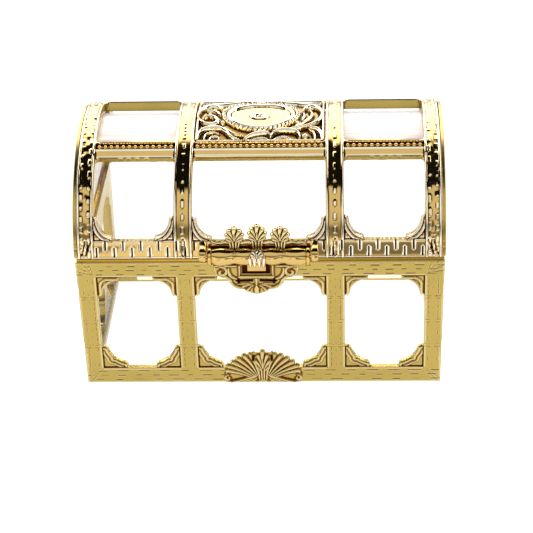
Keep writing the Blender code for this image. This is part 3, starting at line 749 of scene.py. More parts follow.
@dataclass(frozen=True)
class GoldPlating:
  """Gold plating on a plastic moulding, with painted shade in its hollows and painted highlight
  on its raised edges.
  """

  name: str
  face: Triple
  # The next two colours are painted shade for the hollows and painted highlight for the raised
  # edges.
  hollow: Triple
  edge: Triple
  roughness: float
  waves: float
  bump: float
  clouding: float = 0.35

  def material(self, effects: Effects) -> Material:
    """Build the node material.

    Args:
        effects: The shared shader groups.
    """
    material, graph, shader = start_material(self.name)
    curve = graph.node("Group", {"node_tree": effects.recess})
    cloud = graph.node("Group", {"node_tree": effects.tarnish}, Scale=70.0)
    peel = graph.node("Group", {"node_tree": effects.dimples}, Waves=self.waves)
    dull = tuple(0.86 * c for c in self.face)
    colour = graph.blend(graph.math("MULTIPLY", cloud.outputs["Cloud"], self.clouding),
                         (*self.face, 1), (*dull, 1))
    # Lay painted highlight on the raised edges, then painted shade in the hollows.
    colour = graph.blend(curve.outputs["Edge"], colour, (*self.edge, 1))
    colour = graph.blend(curve.outputs["Hollow"], colour, (*self.hollow, 1))
    graph.feed(shader.inputs["Base Color"], colour)
    shader.inputs["Metallic"].default_value = 1.0
    rough = graph.math("MULTIPLY_ADD", cloud.outputs["Cloud"], 0.08)
    rough.node.inputs[2].default_value = self.roughness
    rough = graph.math("ADD", rough, graph.math("MULTIPLY", cloud.outputs["Speck"], 0.15))
    graph.feed(shader.inputs["Roughness"], rough)
    bump = graph.node("Bump", Height=peel.outputs["Height"], Strength=self.bump,
                      Distance=0.00004)
    graph.feed(shader.inputs["Normal"], bump.outputs[0])
    return material


@dataclass(frozen=True)
class ClearSheet:
  """Thin clear sheet with the faint streaks of its rolling, and above a set height a milky veil
  that is partly pearly tint and partly painted reflection.
  """

  name: str
  tint: Triple
  veil: float
  streak_veil: float
  pearl_and_sheen_from: float | None = None
  pearl_and_sheen_veil: float = 0.0

  def material(self, effects: Effects) -> Material:
    """Build the node material.

    Args:
        effects: The shared shader groups.
    """
    material, graph, shader = start_material(self.name)
    streaks = graph.node("Group", {"node_tree": effects.streaks}, Along=9.0, Across=800.0)
    both = graph.math("MULTIPLY", streaks.outputs["Fine"], streaks.outputs["Broad"])
    warm = (self.tint[0] * 0.84, self.tint[1] * 0.74, self.tint[2] * 0.70, 1)
    colour = graph.blend(both, (*self.tint, 1), warm)
    graph.feed(shader.inputs["Base Color"], colour)
    alpha = graph.math("MULTIPLY_ADD", both, self.streak_veil)
    alpha.node.inputs[2].default_value = self.veil
    # Above the set height the sheet turns milky: partly its own pearly tint, partly painted
    # reflection for the brighter glancing reflection over the barrel's top.
    if self.pearl_and_sheen_from is not None:
      place = graph.node("TexCoord").outputs["Object"]
      level = graph.node("SeparateXYZ", Vector=place).outputs[2]
      pearl = graph.remap(level, self.pearl_and_sheen_from * MM, (self.pearl_and_sheen_from + 1.0) * MM)
      alpha = graph.math("ADD", alpha, graph.math("MULTIPLY", pearl, self.pearl_and_sheen_veil),
                         clamp=True)
    graph.feed(shader.inputs["Alpha"], alpha)
    shader.inputs["Roughness"].default_value = 0.06
    shader.inputs["IOR"].default_value = 1.5
    bump = graph.node("Bump", Height=streaks.outputs["Fine"], Strength=0.05,
                      Distance=0.00002)
    graph.feed(shader.inputs["Normal"], bump.outputs[0])
    return material


@dataclass(frozen=True)
class DrawnWire:
  """Brass wire with fine lines round it."""

  name: str = "drawn_brass_wire"
  face: Triple = (0.72, 0.53, 0.24)

  def material(self, effects: Effects) -> Material:
    """Build the node material.

    Args:
        effects: The shared shader groups.
    """
    material, graph, shader = start_material(self.name)
    cloud = graph.node("Group", {"node_tree": effects.tarnish}, Scale=300.0)
    dull = tuple(0.6 * c for c in self.face)
    graph.feed(shader.inputs["Base Color"],
               graph.blend(cloud.outputs["Cloud"], (*self.face, 1), (*dull, 1)))
    shader.inputs["Metallic"].default_value = 1.0
    lines = graph.node("TexWave", {"bands_direction": "X"}, Scale=900.0, Distortion=1.5)
    graph.feed(shader.inputs["Roughness"], graph.remap(lines.outputs[1], 0, 1, 0.22, 0.4))
    bump = graph.node("Bump", Height=lines.outputs[1], Strength=0.2, Distance=0.00002)
    graph.feed(shader.inputs["Normal"], bump.outputs[0])
    return material


# Each plating gives its face colour, then its painted shade colour for hollows and its painted
# highlight colour for raised edges, then roughness, wave scale, bump and clouding.
SATIN_GOLD = GoldPlating("satin_gold_plating", (0.53, 0.39, 0.105), (0.22, 0.085, 0.016),
                         (0.72, 0.58, 0.27), 0.21, 300.0, 0.25)
BRIGHT_GOLD = GoldPlating("bright_gold_plating", (0.73, 0.50, 0.17), (0.07, 0.02, 0.005),
                          (0.98, 0.91, 0.74), 0.05, 220.0, 0.10, 0.25)
CAST_GOLD = GoldPlating("cast_gold_plating", (0.66, 0.45, 0.11), (0.12, 0.03, 0.008),
                        (0.90, 0.76, 0.42), 0.12, 260.0, 0.2, 0.3)
DEEP_GOLD = GoldPlating("deep_gold_plating", (0.62, 0.37, 0.05), (0.22, 0.05, 0.005),
                        (0.80, 0.58, 0.2), 0.2, 260.0, 0.15)
GROUND_GOLD = GoldPlating("matt_gold_ground", (0.40, 0.24, 0.06), (0.01, 0.003, 0.001),
                          (0.70, 0.52, 0.24), 0.36, 500.0, 0.6, 0.6)
# Dark finish for sheets put behind pierced slots as painted shade, for the shadow inside them.
SLOT_SHADE = GoldPlating("painted_slot_shade", (0.075, 0.012, 0.006), (0.02, 0.004, 0.002),
                         (0.12, 0.03, 0.01), 0.5, 300.0, 0.2)
CLEAR = ClearSheet("clear_sheet", (0.97, 0.96, 0.955), 0.012, 0.015)
# The barrel sheet's milky veil over its top is partly pearly tint and partly painted reflection.
PEARL = ClearSheet("clear_barrel_sheet", (0.88, 0.81, 0.80), 0.02, 0.05, 71.2, 0.85)
MILKY = ClearSheet("milky_end_sheet", (0.93, 0.88, 0.86), 0.75, 0.15)


# ------------------------------------------------------------------ places on the chest

class Side(Enum):
  """Walls of the base by quarter turns from the front."""

  FRONT = 0
  RIGHT = 1
  REAR = 2
  LEFT = 3


@dataclass
class ChestFrame:
  """Sizes and places shared by the sub-assemblies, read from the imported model."""

  wall: float = 2.0
  lean_front: float = 3.9
  lean_side: float = 0.65
  post: float = 5.4
  middle_window: float = 39.6
  rail_top: float = 5.1
  rail_foot: float = 5.4
  ledge: float = 1.0
  end_inset: float = 0.5
  base_height: float = field(init=False)
  lid_foot: float = field(init=False)
  lid_height: float = field(init=False)
  half_depth: float = field(init=False)
  half_width: float = field(init=False)
  barrel_half: float = field(init=False)
  middle_y: float = field(init=False)

  def __post_init__(self) -> None:
    """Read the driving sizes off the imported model."""
    front = np.array(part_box("base_front_frame")) / MM
    barrel = np.array(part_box("lid_barrel_frame")) / MM
    end = np.array(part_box("lid_left_end")) / MM
    self.half_width = float(front[1, 0])
    self.base_height = float(front[1, 2]) - self.ledge
    self.barrel_half = float(barrel[1, 0])
    self.lid_foot = float(end[0, 2])
    self.lid_height = float(barrel[1, 2]) - self.lid_foot
    self.half_depth = float(end[1, 1] - end[0, 1]) / 2 + self.end_inset
    self.middle_y = float(min(front[0, 1], barrel[0, 1])) + self.half_depth
    angles = np.linspace(0.0, math.pi / 2, 2001)
    speed = np.hypot(self.half_depth * np.cos(angles), self.lid_height * np.sin(angles))
    length = np.concatenate(([0.0], np.cumsum((speed[1:] + speed[:-1]) / 2
                                              * np.diff(angles))))
    self._angles, self._lengths = angles, length

  @property
  def window_inner(self) -> float:
    """Inner edge of the side windows."""
    return self.middle_window / 2 + self.post

  @property
  def window_outer(self) -> float:
    """Outer edge of the side windows."""
    return self.half_width - self.post - 0.4

  def arc(self, degrees: float) -> float:
    """Length along the lid's section from the ridge to an angle, negative to the front."""
    value = float(np.interp(math.radians(abs(degrees)), self._angles, self._lengths))
    return math.copysign(value, degrees)

  def wall_place(self, side: Side, out: float = 0.0, shift: float = 0.0) -> Place:
    """Stand a flat piece against a leaning wall of the base.

    Args:
        side: Which wall.
        out: Distance of the piece's zero height from the wall's face.
        shift: Distance along the wall.
    """
    across = side in (Side.RIGHT, Side.LEFT)
    half = self.half_width if across else self.half_depth
    lean = self.lean_side if across else self.lean_front
    turn = side.value * math.pi / 2
    cos, sin = math.cos(turn), math.sin(turn)

    def move(points: Array) -> Array:
      """Flat points to the chest's frame."""
      x = points[:, 0] + shift
      z = points[:, 1]
      y = -(half - lean * (1 - z / self.base_height)) - points[:, 2] - out
      return np.stack([cos * x - sin * y, sin * x + cos * y + self.middle_y, z], 1)

    return move

  def barrel_place(self) -> Place:
    """Wrap a flat piece over the barrel: x, length from the ridge, height."""

    def move(points: Array) -> Array:
      """Flat points to the chest's frame."""
      s = points[:, 1]
      angle = np.sign(s) * np.interp(np.abs(s), self._lengths, self._angles)
      ny, nz = np.sin(angle) / self.half_depth, np.cos(angle) / self.lid_height
      size = np.hypot(ny, nz)
      lift = points[:, 2]
      y = self.middle_y + self.half_depth * np.sin(angle) + lift * ny / size
      z = self.lid_foot + self.lid_height * np.cos(angle) + lift * nz / size
      return np.stack([points[:, 0], y, z], 1)

    return move

  def upright_place(self, out: float) -> Place:
    """Stand a flat piece upright before the lid's front, out from its foremost line."""

    def move(points: Array) -> Array:
      """Flat points to the chest's frame."""
      y = self.middle_y - self.half_depth - out - points[:, 2]
      return np.stack([points[:, 0], y, points[:, 1]], 1)

    return move


@dataclass
class Workshop:
  """What every sub-assembly needs: the frame, the finishes and a way to file a piece."""

  chest: ChestFrame
  satin: Material
  bright: Material
  cast: Material
  deep: Material
  ground: Material
  shade: Material
  clear: Material
  pearl: Material
  milky: Material
  wire: Material

  def file(self, obj: Object, material: Material, body: str, slot: str,
           replaces: Sequence[str] = (), *others: Material) -> None:
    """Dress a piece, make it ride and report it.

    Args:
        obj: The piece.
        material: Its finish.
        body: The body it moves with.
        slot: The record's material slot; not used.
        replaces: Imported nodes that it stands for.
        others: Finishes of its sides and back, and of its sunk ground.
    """
    kept = np.zeros(len(obj.data.polygons), np.int32)
    obj.data.polygons.foreach_get("material_index", kept)
    obj.data.materials.clear()
    for finish in (material, *others):
      obj.data.materials.append(finish)
    obj.data.polygons.foreach_set("material_index", np.minimum(kept, len(others)))
    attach(obj, body)
    if replaces:
      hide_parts(*replaces)
    LOG.info("%s rides on %s with %d faces", obj.name, body, len(obj.data.polygons))

  @staticmethod
  def dress(node: str, material: Material) -> None:
    """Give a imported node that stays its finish."""
    obj = frame["nodes"][node]
    obj.data.materials.clear()
    obj.data.materials.append(material)
    for polygon in obj.data.polygons:
      polygon.material_index = 0
    LOG.info("%s keeps its shape", node)


# ------------------------------------------------------------------ base

@dataclass(frozen=True)
class Window:
  """One opening of a frame, by its corners and its bracket shapes."""

  low: Pair
  high: Pair
  foot: tuple[Pair, ...]
  head: tuple[Pair, ...]

  def loop(self) -> list[Pair]:
    """Outline of the opening."""
    low, high = self.low, self.high
    loop = [(low[0] + u, low[1] + v) for u, v in reversed(self.foot)]
    loop += [(high[0] - u, low[1] + v) for u, v in self.foot]
    loop += [(high[0] - u, high[1] - v) for u, v in reversed(self.head)]
    return loop + [(low[0] + u, high[1] - v) for u, v in self.head]


def window_distance(u: Array, v: Array, windows: Iterable[Window]) -> Array:
  """Signed distance to the nearest window's rectangle, its brackets left out."""
  return np.min([box_distance(u, v, w.low, w.high) for w in windows], axis=0)


@dataclass
class WallRelief:
  """Openwork wall of the base, with brackets and fine engraved dashes."""

  shop: Workshop
  side: Side
  head_bracket: tuple[float, float, float, float] = (7.1, 7.1, 1.55, 1.08)
  foot_bracket: tuple[float, float, float, float] = (7.6, 7.7, 1.75, 1.3)
  dash_width: float = 0.13
  dash_depth: float = 0.16
  edge_round: float = 0.28
  rear_rail_top: float = 1.1
  rear_post: float = 2.4
  rear_foot: float = 0.6
  rear_wall: float = 0.9
  end_wall: float = 3.1
  corner_gap: float = 0.3
  columns: tuple[float, ...] = (-1.45, 0.0, 1.45)

  def windows(self) -> list[Window]:
    """Openings of this wall."""
    chest = self.shop.chest
    head = tuple(bracket_corner(*self.head_bracket))
    foot = tuple(bracket_corner(*self.foot_bracket, notch=0.35))
    low, high = chest.rail_foot, chest.base_height - chest.rail_top
    if self.side is Side.REAR:
      high = chest.base_height - self.rear_rail_top
      corner = tuple(round_corner(1.6))
      half = chest.half_width - self.rear_post
      return [Window((-half, self.rear_foot), (half, high), foot, corner)]
    if self.side is Side.FRONT:
      half = chest.middle_window / 2
      spans = ((-chest.window_outer, -chest.window_inner), (-half, half),
               (chest.window_inner, chest.window_outer))
    else:
      outer = self.half_length(0) - chest.post + 1.5
      spans = ((-outer, -chest.post / 2), (chest.post / 2, outer))
    return [Window((a, low), (b, high), foot, head) for a, b in spans]

  def half_length(self, share: float) -> float:
    """Half length of the wall, from its foot at share 0 to its top edge at 1."""
    chest = self.shop.chest
    if self.side in (Side.FRONT, Side.REAR):
      return chest.half_width - chest.lean_side * (1 - share)
    return chest.half_depth - chest.lean_front * (1 - share) - chest.wall - self.corner_gap

  def build(self) -> None:
    """Make the wall."""
    chest = self.shop.chest
    windows = self.windows()
    height, foot, head = chest.base_height, self.half_length(0), self.half_length(1)
    outline = [(-foot, 0.0), (foot, 0.0), (head, height), (-head, height)]
    loops = [window.loop() for window in windows]

    def distance(u: Array, v: Array) -> Array:
      """Signed distance to the wall's material."""
      return pierced(u, v, polygon_distance(u, v, outline), loops)

    rows = self._rail_rows(windows)
    posts = self._posts(windows)
    columns = [centre + shift for centre, _ in posts for shift in self.columns]

    def relief(u: Array, v: Array) -> Array:
      """Height of the face."""
      depth = distance(u, v)
      result = -0.22 * (1 - ease(0.0, self.edge_round, -depth))
      in_window = window_distance(u, v, windows)
      result = result + self._brackets(u, v, windows, in_window, depth)
      on_frame = ease(0.1, 0.35, in_window)
      result += on_frame * self._dash_rows(u, v, rows, windows)
      result += on_frame * self._post_marks(u, v, posts, windows)
      if self.side is Side.FRONT:
        result += on_frame * self._corner_fans(u, v, windows)
      return result

    rims = [x for w in windows for x in (w.low[0], w.high[0])]
    sills = [y for w in windows for y in (w.low[1], w.high[1])]
    arm_u, arm_v = self.foot_bracket[:2]
    fine_u = merge([(a, b) for w in windows for a, b in
                    ((w.low[0] - 0.2, w.low[0] + arm_u),
                     (w.high[0] - arm_u, w.high[0] + 0.2))])
    fine_v = merge([(windows[0].low[1] - 0.2, windows[0].low[1] + arm_v),
                    (windows[0].high[1] - arm_v, windows[0].high[1] + 0.2)])
    u_lines = grid_lines(-head, head, 0.3, fine_u, 0.19, columns + rims)
    v_lines = grid_lines(0.0, height, 0.24, fine_v, 0.19, [y for y, *_ in rows] + sills)
    side = self.side.name.lower()
    back = {Side.FRONT: chest.wall, Side.REAR: self.rear_wall}.get(self.side, self.end_wall)
    sheet = ReliefSheet(f"base_{side}_moulding", u_lines, v_lines, distance, relief, -back,
                        chest.wall_place(self.side))
    self.shop.file(sheet.build(), self.shop.satin, "base", "gold", [f"base_{side}_frame"],
                   self.shop.satin)

  def _rail_rows(self, windows: list[Window]) -> list[tuple[float, float, float, float]]:
    """Rows of dashes along the rails: height, period, length and seed."""
    top = self.shop.chest.base_height
    low, high = windows[0].low[1], windows[0].high[1]
    rows = [(1.15, 6.1, 3.2, 3.0), (2.75, 5.3, 2.6, 4.0), (low - 1.05, 6.4, 3.4, 5.0)]
    if top - high > 4:
      rows += [(high + 0.85, 6.2, 2.8, 0.0), (high + 2.4, 4.3, 2.0, 1.0),
               (top - 1.25, 6.6, 2.6, 2.0)]
    return rows

  def _posts(self, windows: list[Window]) -> list[Pair]:
    """Middle and width of each post."""
    edge = self.half_length(0)
    stops = [-edge] + [x for w in windows for x in (w.low[0], w.high[0])] + [edge]
    return [((a + b) / 2, b - a) for a, b in zip(stops[::2], stops[1::2])]

  def _dash_rows(self, u: Array, v: Array, rows: list[tuple[float, float, float, float]],
                 windows: list[Window]) -> Array:
    """Engraved dashes along the rails."""
    result = np.zeros(u.shape)
    low, high = windows[0].low[1], windows[0].high[1]
    on_rail = (v < low) | (v > high)
    for level, period, length, seed in rows:
      cell, local = paced(u, period, 200)
      half = length / 2 * (0.55 + 0.6 * jitter(cell, seed))
      off = 0.12 * (jitter(cell, seed + 9) - 0.5)
      away = dash_distance(local, v - level - off, half)
      depth = self.dash_depth * (0.5 + 0.6 * jitter(cell, seed + 5))
      result = np.minimum(result, groove(away, self.dash_width, 1.0) * depth * on_rail)
    return result

  def _post_marks(self, u: Array, v: Array, posts: list[Pair],
                  windows: list[Window]) -> Array:
    """Columns of dots and short dashes down each post, with pairs of cross lines."""
    result = np.zeros(u.shape)
    low, high = windows[0].low[1] + 0.5, windows[0].high[1] - 0.5
    span = (v > low) & (v < high)
    for number, (centre, width) in enumerate(posts):
      for column, shift in enumerate(self.columns):
        period, length = (1.9, 0.7) if shift else (2.6, 0.25)
        seed = number * 7.0 + column
        cell, local = paced(v, period)
        half = length * (0.3 + 0.9 * jitter(cell, seed))
        away = dash_distance(local, u - centre - shift, half)
        depth = 0.75 * self.dash_depth * (jitter(cell, seed + 3) > 0.25)
        result = np.minimum(result, groove(away, self.dash_width, 1.0) * depth * span)
      for level in (13.6, 22.6, 31.2):
        for step in (-0.45, 0.45):
          for hand in (-1, 1):
            edge = centre + hand * (width / 2 - 1.15)
            slant = 0.12 * hand * (u - edge)
            away = dash_distance(u - edge, v - level - step - slant, 0.85)
            result = np.minimum(result, groove(away, 0.12, 0.12))
    return result

  def _brackets(self, u: Array, v: Array, windows: list[Window], in_window: Array,
                depth: Array) -> Array:
    """Brackets in the window corners: sunk fields with ribs.

    Args:
        u: Places along the wall.
        v: Places up the wall.
        windows: The openings.
        in_window: Distance to the nearest window rectangle.
        depth: Distance to the edge of the material.
    """
    inside = ease(0.05, 0.2, -in_window)
    field_level = -0.42 * inside
    seam = groove(in_window + 0.12, 0.15, 0.30)
    free = -depth
    middle = (windows[0].low[1] + windows[0].high[1]) / 2
    upper = v > middle
    rib = np.zeros(u.shape)
    for window in windows:
      low, high = np.array(window.low) + 1.05, np.array(window.high) - 1.05
      turned = np.abs(box_distance(u, v, low, high, 2.4))
      rib = np.maximum(rib, ridge(turned, 0.42, 0.42) * (upper & (in_window < -0.3)))
    hollow_rib = ridge(np.abs(free - 0.55), 0.40, 0.36) * (~upper)
    inner_rib = ridge(np.abs(free - 1.75), 0.30, 0.22) * (~upper)
    rib = np.maximum(rib, np.maximum(hollow_rib, inner_rib) * (in_window < -0.35))
    rib = np.maximum(rib, ridge(np.abs(free - 0.35), 0.35, 0.18) * upper
                     * (in_window < -0.3))
    return field_level + seam * (in_window < 0.6) * (free > 0.05) + rib * inside

  def _corner_fans(self, u: Array, v: Array, windows: list[Window]) -> Array:
    """Fans of mitre lines at the four outer corners of the front."""
    result = np.zeros(u.shape)
    foot, top = windows[0].low[1], windows[0].high[1]
    edge = windows[-1].high[0]
    for hand in (-1, 1):
      for level, lift in ((top, 1), (foot, -1)):
        centre = (hand * (edge + 0.7), level + lift * 0.9)
        for spoke in (12, 32, 52, 74) if lift > 0 else (35, 50):
          angle = math.radians(spoke)
          du, dv = hand * math.cos(angle), lift * math.sin(angle)
          along = (u - centre[0]) * du + (v - centre[1]) * dv
          off = np.abs((u - centre[0]) * dv - (v - centre[1]) * du)
          reach = np.maximum(np.maximum(0.3 - along, along - 5.6), 0)
          result = np.minimum(result, groove(np.hypot(off, reach), 0.13, 0.15))
    return result


def merge(spans: Sequence[Pair]) -> list[Pair]:
  """Spans sorted, with the ones that touch made one."""
  result: list[Pair] = []
  for low, high in sorted(spans):
    if result and low <= result[-1][1] + 0.05:
      result[-1] = (result[-1][0], max(high, result[-1][1]))
    else:
      result.append((low, high))
  return result


@dataclass
class Base:
  """The fixed half of the chest."""

  shop: Workshop
  ledge_width: float = 1.3
  ledge_set_back: float = 0.6

  def build(self) -> None:
    """Make every piece of the base."""
    for side in Side:
      WallRelief(self.shop, side).build()
    self._ledge()
    hinge_knuckles(self.shop, "base")
    for node in ("base_floor_plate", "base_front_pane", "base_rear_pane",
                 "base_left_pane", "base_right_pane"):
      self.shop.dress(node, self.shop.clear)
    for node in ("hinge_pin_left", "hinge_pin_right"):
      self.shop.dress(node, self.shop.wire)

  def _ledge(self) -> None:
    """Rounded ledge round the rim, on which the lid rests."""
    chest = self.shop.chest
    bottom, top = chest.base_height - 0.4, chest.base_height + chest.ledge
    near, far = self.ledge_set_back, self.ledge_set_back + self.ledge_width
    section = [(near, bottom), (near, top - 0.35), (near + 0.12, top - 0.1),
               (near + 0.35, top), (far - 0.3, top), (far, top - 0.3), (far, bottom)]
    corners = ((-1, -1), (1, -1), (1, 1), (-1, 1))
    rings = np.array([[(hand * (chest.half_width - inset),
                        chest.middle_y + depth * (chest.half_depth - inset), z)
                       for inset, z in section] for hand, depth in corners])
    mesh = swept_mesh("base_rim_ledge", rings, closed_path=True)
    obj = mesh_object("base_rim_ledge", mesh, sharp=30)
    self.shop.file(obj, self.shop.deep, "base", "gold")


def hinge_knuckles(shop: Workshop, body: str) -> None:
  """Make the rounded hinge barrels of one body, with the webs that carry them.

  Args:
      shop: The shared places and finishes.
      body: "base" for the outer pairs, "lid" for the middle ones.
  """
  chest = shop.chest
  joint = next(j for j in frame["joints"] if j["name"] == "lid_hinge")
  axis = (joint["pos_m"][1] / MM, joint["pos_m"][2] / MM)
  radius, bore, soft, reach = 1.4, 0.8, 0.18, 35.0
  if body == "lid":
    spans = [(side * reach - 1.3, side * reach + 1.3) for side in (-1, 1)]
    foot, head, near, far = chest.lid_foot + 0.1, chest.lid_foot + 2.7, -2.0, 0.3
    start = (axis[1] + 0.9, -0.9)
  else:
    spans = [tuple(sorted((side * reach + hand * 1.6, side * reach + hand * 4.0)))
             for side in (-1, 1) for hand in (-1, 1)]
    foot, head, near, far = chest.base_height - 0.3, chest.base_height - 1.3, -2.4, 0.6
    start = (axis[1] - 0.9, 1.0)
  outline = [(near, foot), (near, head), (near + 0.5, head), (far, start[0]), (start[1], foot)]
  turns = np.linspace(0, 2 * math.pi, 32, endpoint=False)
  meshes = []
  for low, high in spans:
    profile = [(low, bore), (low, radius - soft), (low + soft, radius),
               (high - soft, radius), (high, radius - soft), (high, bore)]
    rings = np.array([[(x, axis[0] + r * math.cos(t), axis[1] + r * math.sin(t))
                       for t in turns] for x, r in profile])
    meshes.append(swept_mesh("barrel", rings, closed_path=True))
    rings = np.array([[(x, axis[0] + y, z) for y, z in outline]
                      for x in (low + 0.1, high - 0.1)])
    meshes.append(swept_mesh("web", rings))
  name = f"{body}_hinge_knuckles"
  material, slot = (shop.bright, "lid_gold") if body == "lid" else (shop.satin, "gold")
  shop.file(mesh_object(name, joined(name, meshes)), material, body, slot)


# ------------------------------------------------------------------ lid

@dataclass
class BarrelRelief:
  """Curved frame of the lid with bead rails, arched posts and a scored foot band."""

  shop: Workshop
  top_angle: float = 24.0
  bead_angle: float = 28.8
  window_start: float = 33.0
  window_end: float = 79.4
  bracket: tuple[float, float, float, float] = (5.9, 7.5, 1.35, 1.08)
  middle_taller: float = 0.3
  bead_pitch: float = 1.86
  tick_pitch: float = 5.3
  thicker: float = 0.8

  def spans(self) -> list[Triple]:
    """The three columns of windows and how much taller each is."""
    chest = self.shop.chest
    half = chest.middle_window / 2
    return [(-chest.window_outer, -chest.window_inner, 0.0),
            (-half, half, self.middle_taller),
            (chest.window_inner, chest.window_outer, 0.0)]

  def windows(self) -> list[Window]:
    """Front, top and rear openings in barrel lengths."""
    chest = self.shop.chest
    start, end = chest.arc(self.window_start), chest.arc(self.window_end)
    top = chest.arc(self.top_angle)
    small = tuple(round_corner(1.3))
    bracket = tuple(bracket_corner(*self.bracket))
    made = []
    for low, high, taller in self.spans():
      near, far = start - taller, end + taller
      made.append(Window((low, -far), (high, -near), bracket, small))
      made.append(Window((low, near), (high, far), small, bracket))
      made.append(Window((low, -top - taller), (high, top + taller), small, small))
    return made

  def build(self) -> None:
    """Make the barrel and its beads."""
    chest = self.shop.chest
    windows = self.windows()
    loops = [w.loop() for w in windows]
    half, edge = chest.barrel_half, chest.arc(90.0)
    side_rects = [w for w in windows if w.foot != w.head]
    posts = self._posts()
    ticks = self._ticks()
    end, start = chest.arc(self.window_end), chest.arc(self.window_start)
    top, bead = chest.arc(self.top_angle), chest.arc(self.bead_angle)

    def distance(u: Array, v: Array) -> Array:
      """Signed distance to the barrel's material."""
      return pierced(u, v, box_distance(u, v, (-half, -edge), (half, edge)), loops)

    def relief(u: Array, v: Array) -> Array:
      """Height of the barrel's face."""
      depth = distance(u, v)
      level = np.abs(v)
      result = -0.25 * (1 - ease(0.0, 0.3, -depth))
      on_post = np.min([np.abs(u - centre) - width / 2 for centre, width in posts], axis=0)
      between = ease(-0.1, 0.15, on_post)
      rail = between * (level > top - 0.4) * (level < start + 0.4)
      recess = ease(top + 0.55, top + 0.75, level) * (1 - ease(bead - 0.25, bead, level))
      slope = np.clip((level - bead) / (start - bead), 0, 1)
      result += rail * (-0.75 * recess + ridge(np.abs(level - top - 0.28), 0.3, 0.16)
                        + 0.10 * (level > bead) - 1.15 * slope)
      result += self._posts_relief(u, v, posts)
      result += self._band(u, v, posts, ticks, end, edge)
      result += self._brackets(u, v, side_rects, depth)
      return result

    fine_x = merge([(a, b) for low, high, _ in self.spans()
                    for a, b in ((low - 0.3, low + 6.3), (high - 6.3, high + 0.3))])
    arm = self.bracket[1]
    x_marks = [x for x, _ in ticks] + [c + s for c, w in posts
                                       for s in (-w / 2, -1.9, 1.9, w / 2)]
    x_lines = grid_lines(-half, half, 0.36, fine_x, 0.215, x_marks,
                         (-0.24, -0.12, 0.0, 0.12, 0.24))
    fine_v = [(-edge, -end + arm), (-start - 0.3, -top + 0.4), (top - 0.4, start + 0.3)]
    v_marks = [sign * m for sign in (-1, 1)
               for m in (top + 0.28, top + 0.65, bead - 0.12, bead, start, end)]
    v_lines = grid_lines(-edge, edge, 0.36, fine_v, 0.205, v_marks,
                         (-0.12, 0.0, 0.12))
    sheet = ReliefSheet("lid_barrel_moulding", x_lines, v_lines, distance, relief,
                        -chest.wall - self.thicker, chest.barrel_place())
    self.shop.file(sheet.build(), self.shop.bright, "lid", "lid_gold",
                   ["lid_barrel_frame"], self.shop.satin)
    self._beads()
    hinge_knuckles(self.shop, "lid")

  def _posts(self) -> list[Pair]:
    """Middle and width of each arched post."""
    chest = self.shop.chest
    outer = (chest.barrel_half + chest.window_outer) / 2
    inner = (chest.middle_window / 2 + chest.window_inner) / 2
    wide = chest.barrel_half - chest.window_outer
    return [(-outer, wide), (-inner, chest.post), (inner, chest.post), (outer, wide)]

  def _ticks(self) -> list[tuple[float, int]]:
    """Places of the grooves in the foot band, and whether each starts above or below."""
    chest = self.shop.chest
    made = []
    low, high = chest.middle_window / 2 - 4.0, chest.barrel_half - 3.0
    count = int((high - low) / (self.tick_pitch / 2))
    for k in range(count + 1):
      x = high - k * self.tick_pitch / 2
      made += [(x, k % 2), (-x, k % 2)]
    return made

  def _posts_relief(self, u: Array, v: Array, posts: list[Pair]) -> Array:
    """Thin rims along each post, columns of long pearls and a hand-beaten face."""
    result = np.zeros(u.shape)
    for number, (centre, width) in enumerate(posts):
      hand = 1 if centre > 0 else -1
      local = (u - centre) * hand
      within = np.abs(local) < width / 2
      side = width / 2 - 0.38
      result += within * ridge(np.abs(np.abs(local) - side), 0.36, 0.24)
      inner = 1 - ease(side - 0.55, side - 0.1, np.abs(local))
      outer = number in (0, len(posts) - 1)
      beat = 0.34 if outer else 0.20
      cell_u, cell_v = (1.25, 2.1) if outer else (2.3, 4.2)
      wave = hammered(u, v + 300, cell_u, cell_v, 3.0 + number) - 0.5
      result += within * inner * beat * wave
      columns = ((-1.15, 4.1, 0.55), (1.1, 3.3, 0.4)) if outer else ((0.0, 3.9, 0.42),)
      for shift, pitch, radius in columns:
        crown = np.abs(v) < 14.0
        step = np.where(crown & (number == 1), 1.75, pitch)
        cell, along = paced(v, step, 300)
        half = np.where(crown, 0.2, 0.18 * pitch * (0.7 + 0.6 * jitter(cell, number)))
        off = shift + 0.15 * (jitter(cell, number + 4) - 0.5)
        away = dash_distance(along, local - off, half)
        result += within * ridge(away, radius, 0.26)
    return result

  def _band(self, u: Array, v: Array, posts: list[Pair],
            ticks: list[tuple[float, int]], end: float, edge: float) -> Array:
    """Foot band with staggered grooves and a thin raised rim."""
    level = np.abs(v)
    result = ridge(np.abs(level - edge + 0.3), 0.3, 0.12)
    for x, below in ticks:
      low = end + (2.3 if below else 0.3)
      high = edge - (0.8 if below else 2.8)
      away = np.hypot(u - x, np.maximum(np.maximum(low - level, level - high), 0))
      near = away < 1.0
      result[near] += groove(away[near], 0.26, 0.55)
    for number, (centre, _) in enumerate(posts):
      if number in (0, len(posts) - 1):
        hand = 1 if centre > 0 else -1
        for start, reach in ((-1.5, 0.0), (0.1, 1.2)):
          along = (level - end - 0.3) / (edge - end - 1.4)
          middle = centre + hand * (start + (reach - start) * np.clip(along, 0, 1))
          past = np.maximum(np.maximum(-along, along - 1), 0) * 5
          near = np.hypot(u - middle, past)
          result += groove(near, 0.34, 0.6)
        continue
      lancet = np.abs(u - centre) - 0.75 * np.clip((level - end + 0.9) / 1.5, 0.0,
                                                   1.0) ** 0.6
      cut = (level > end - 0.9) & (level < edge - 0.7)
      result += np.where(cut, -0.42 * (1 - ease(-0.35, 0.05, lancet)), 0.0)
    return result

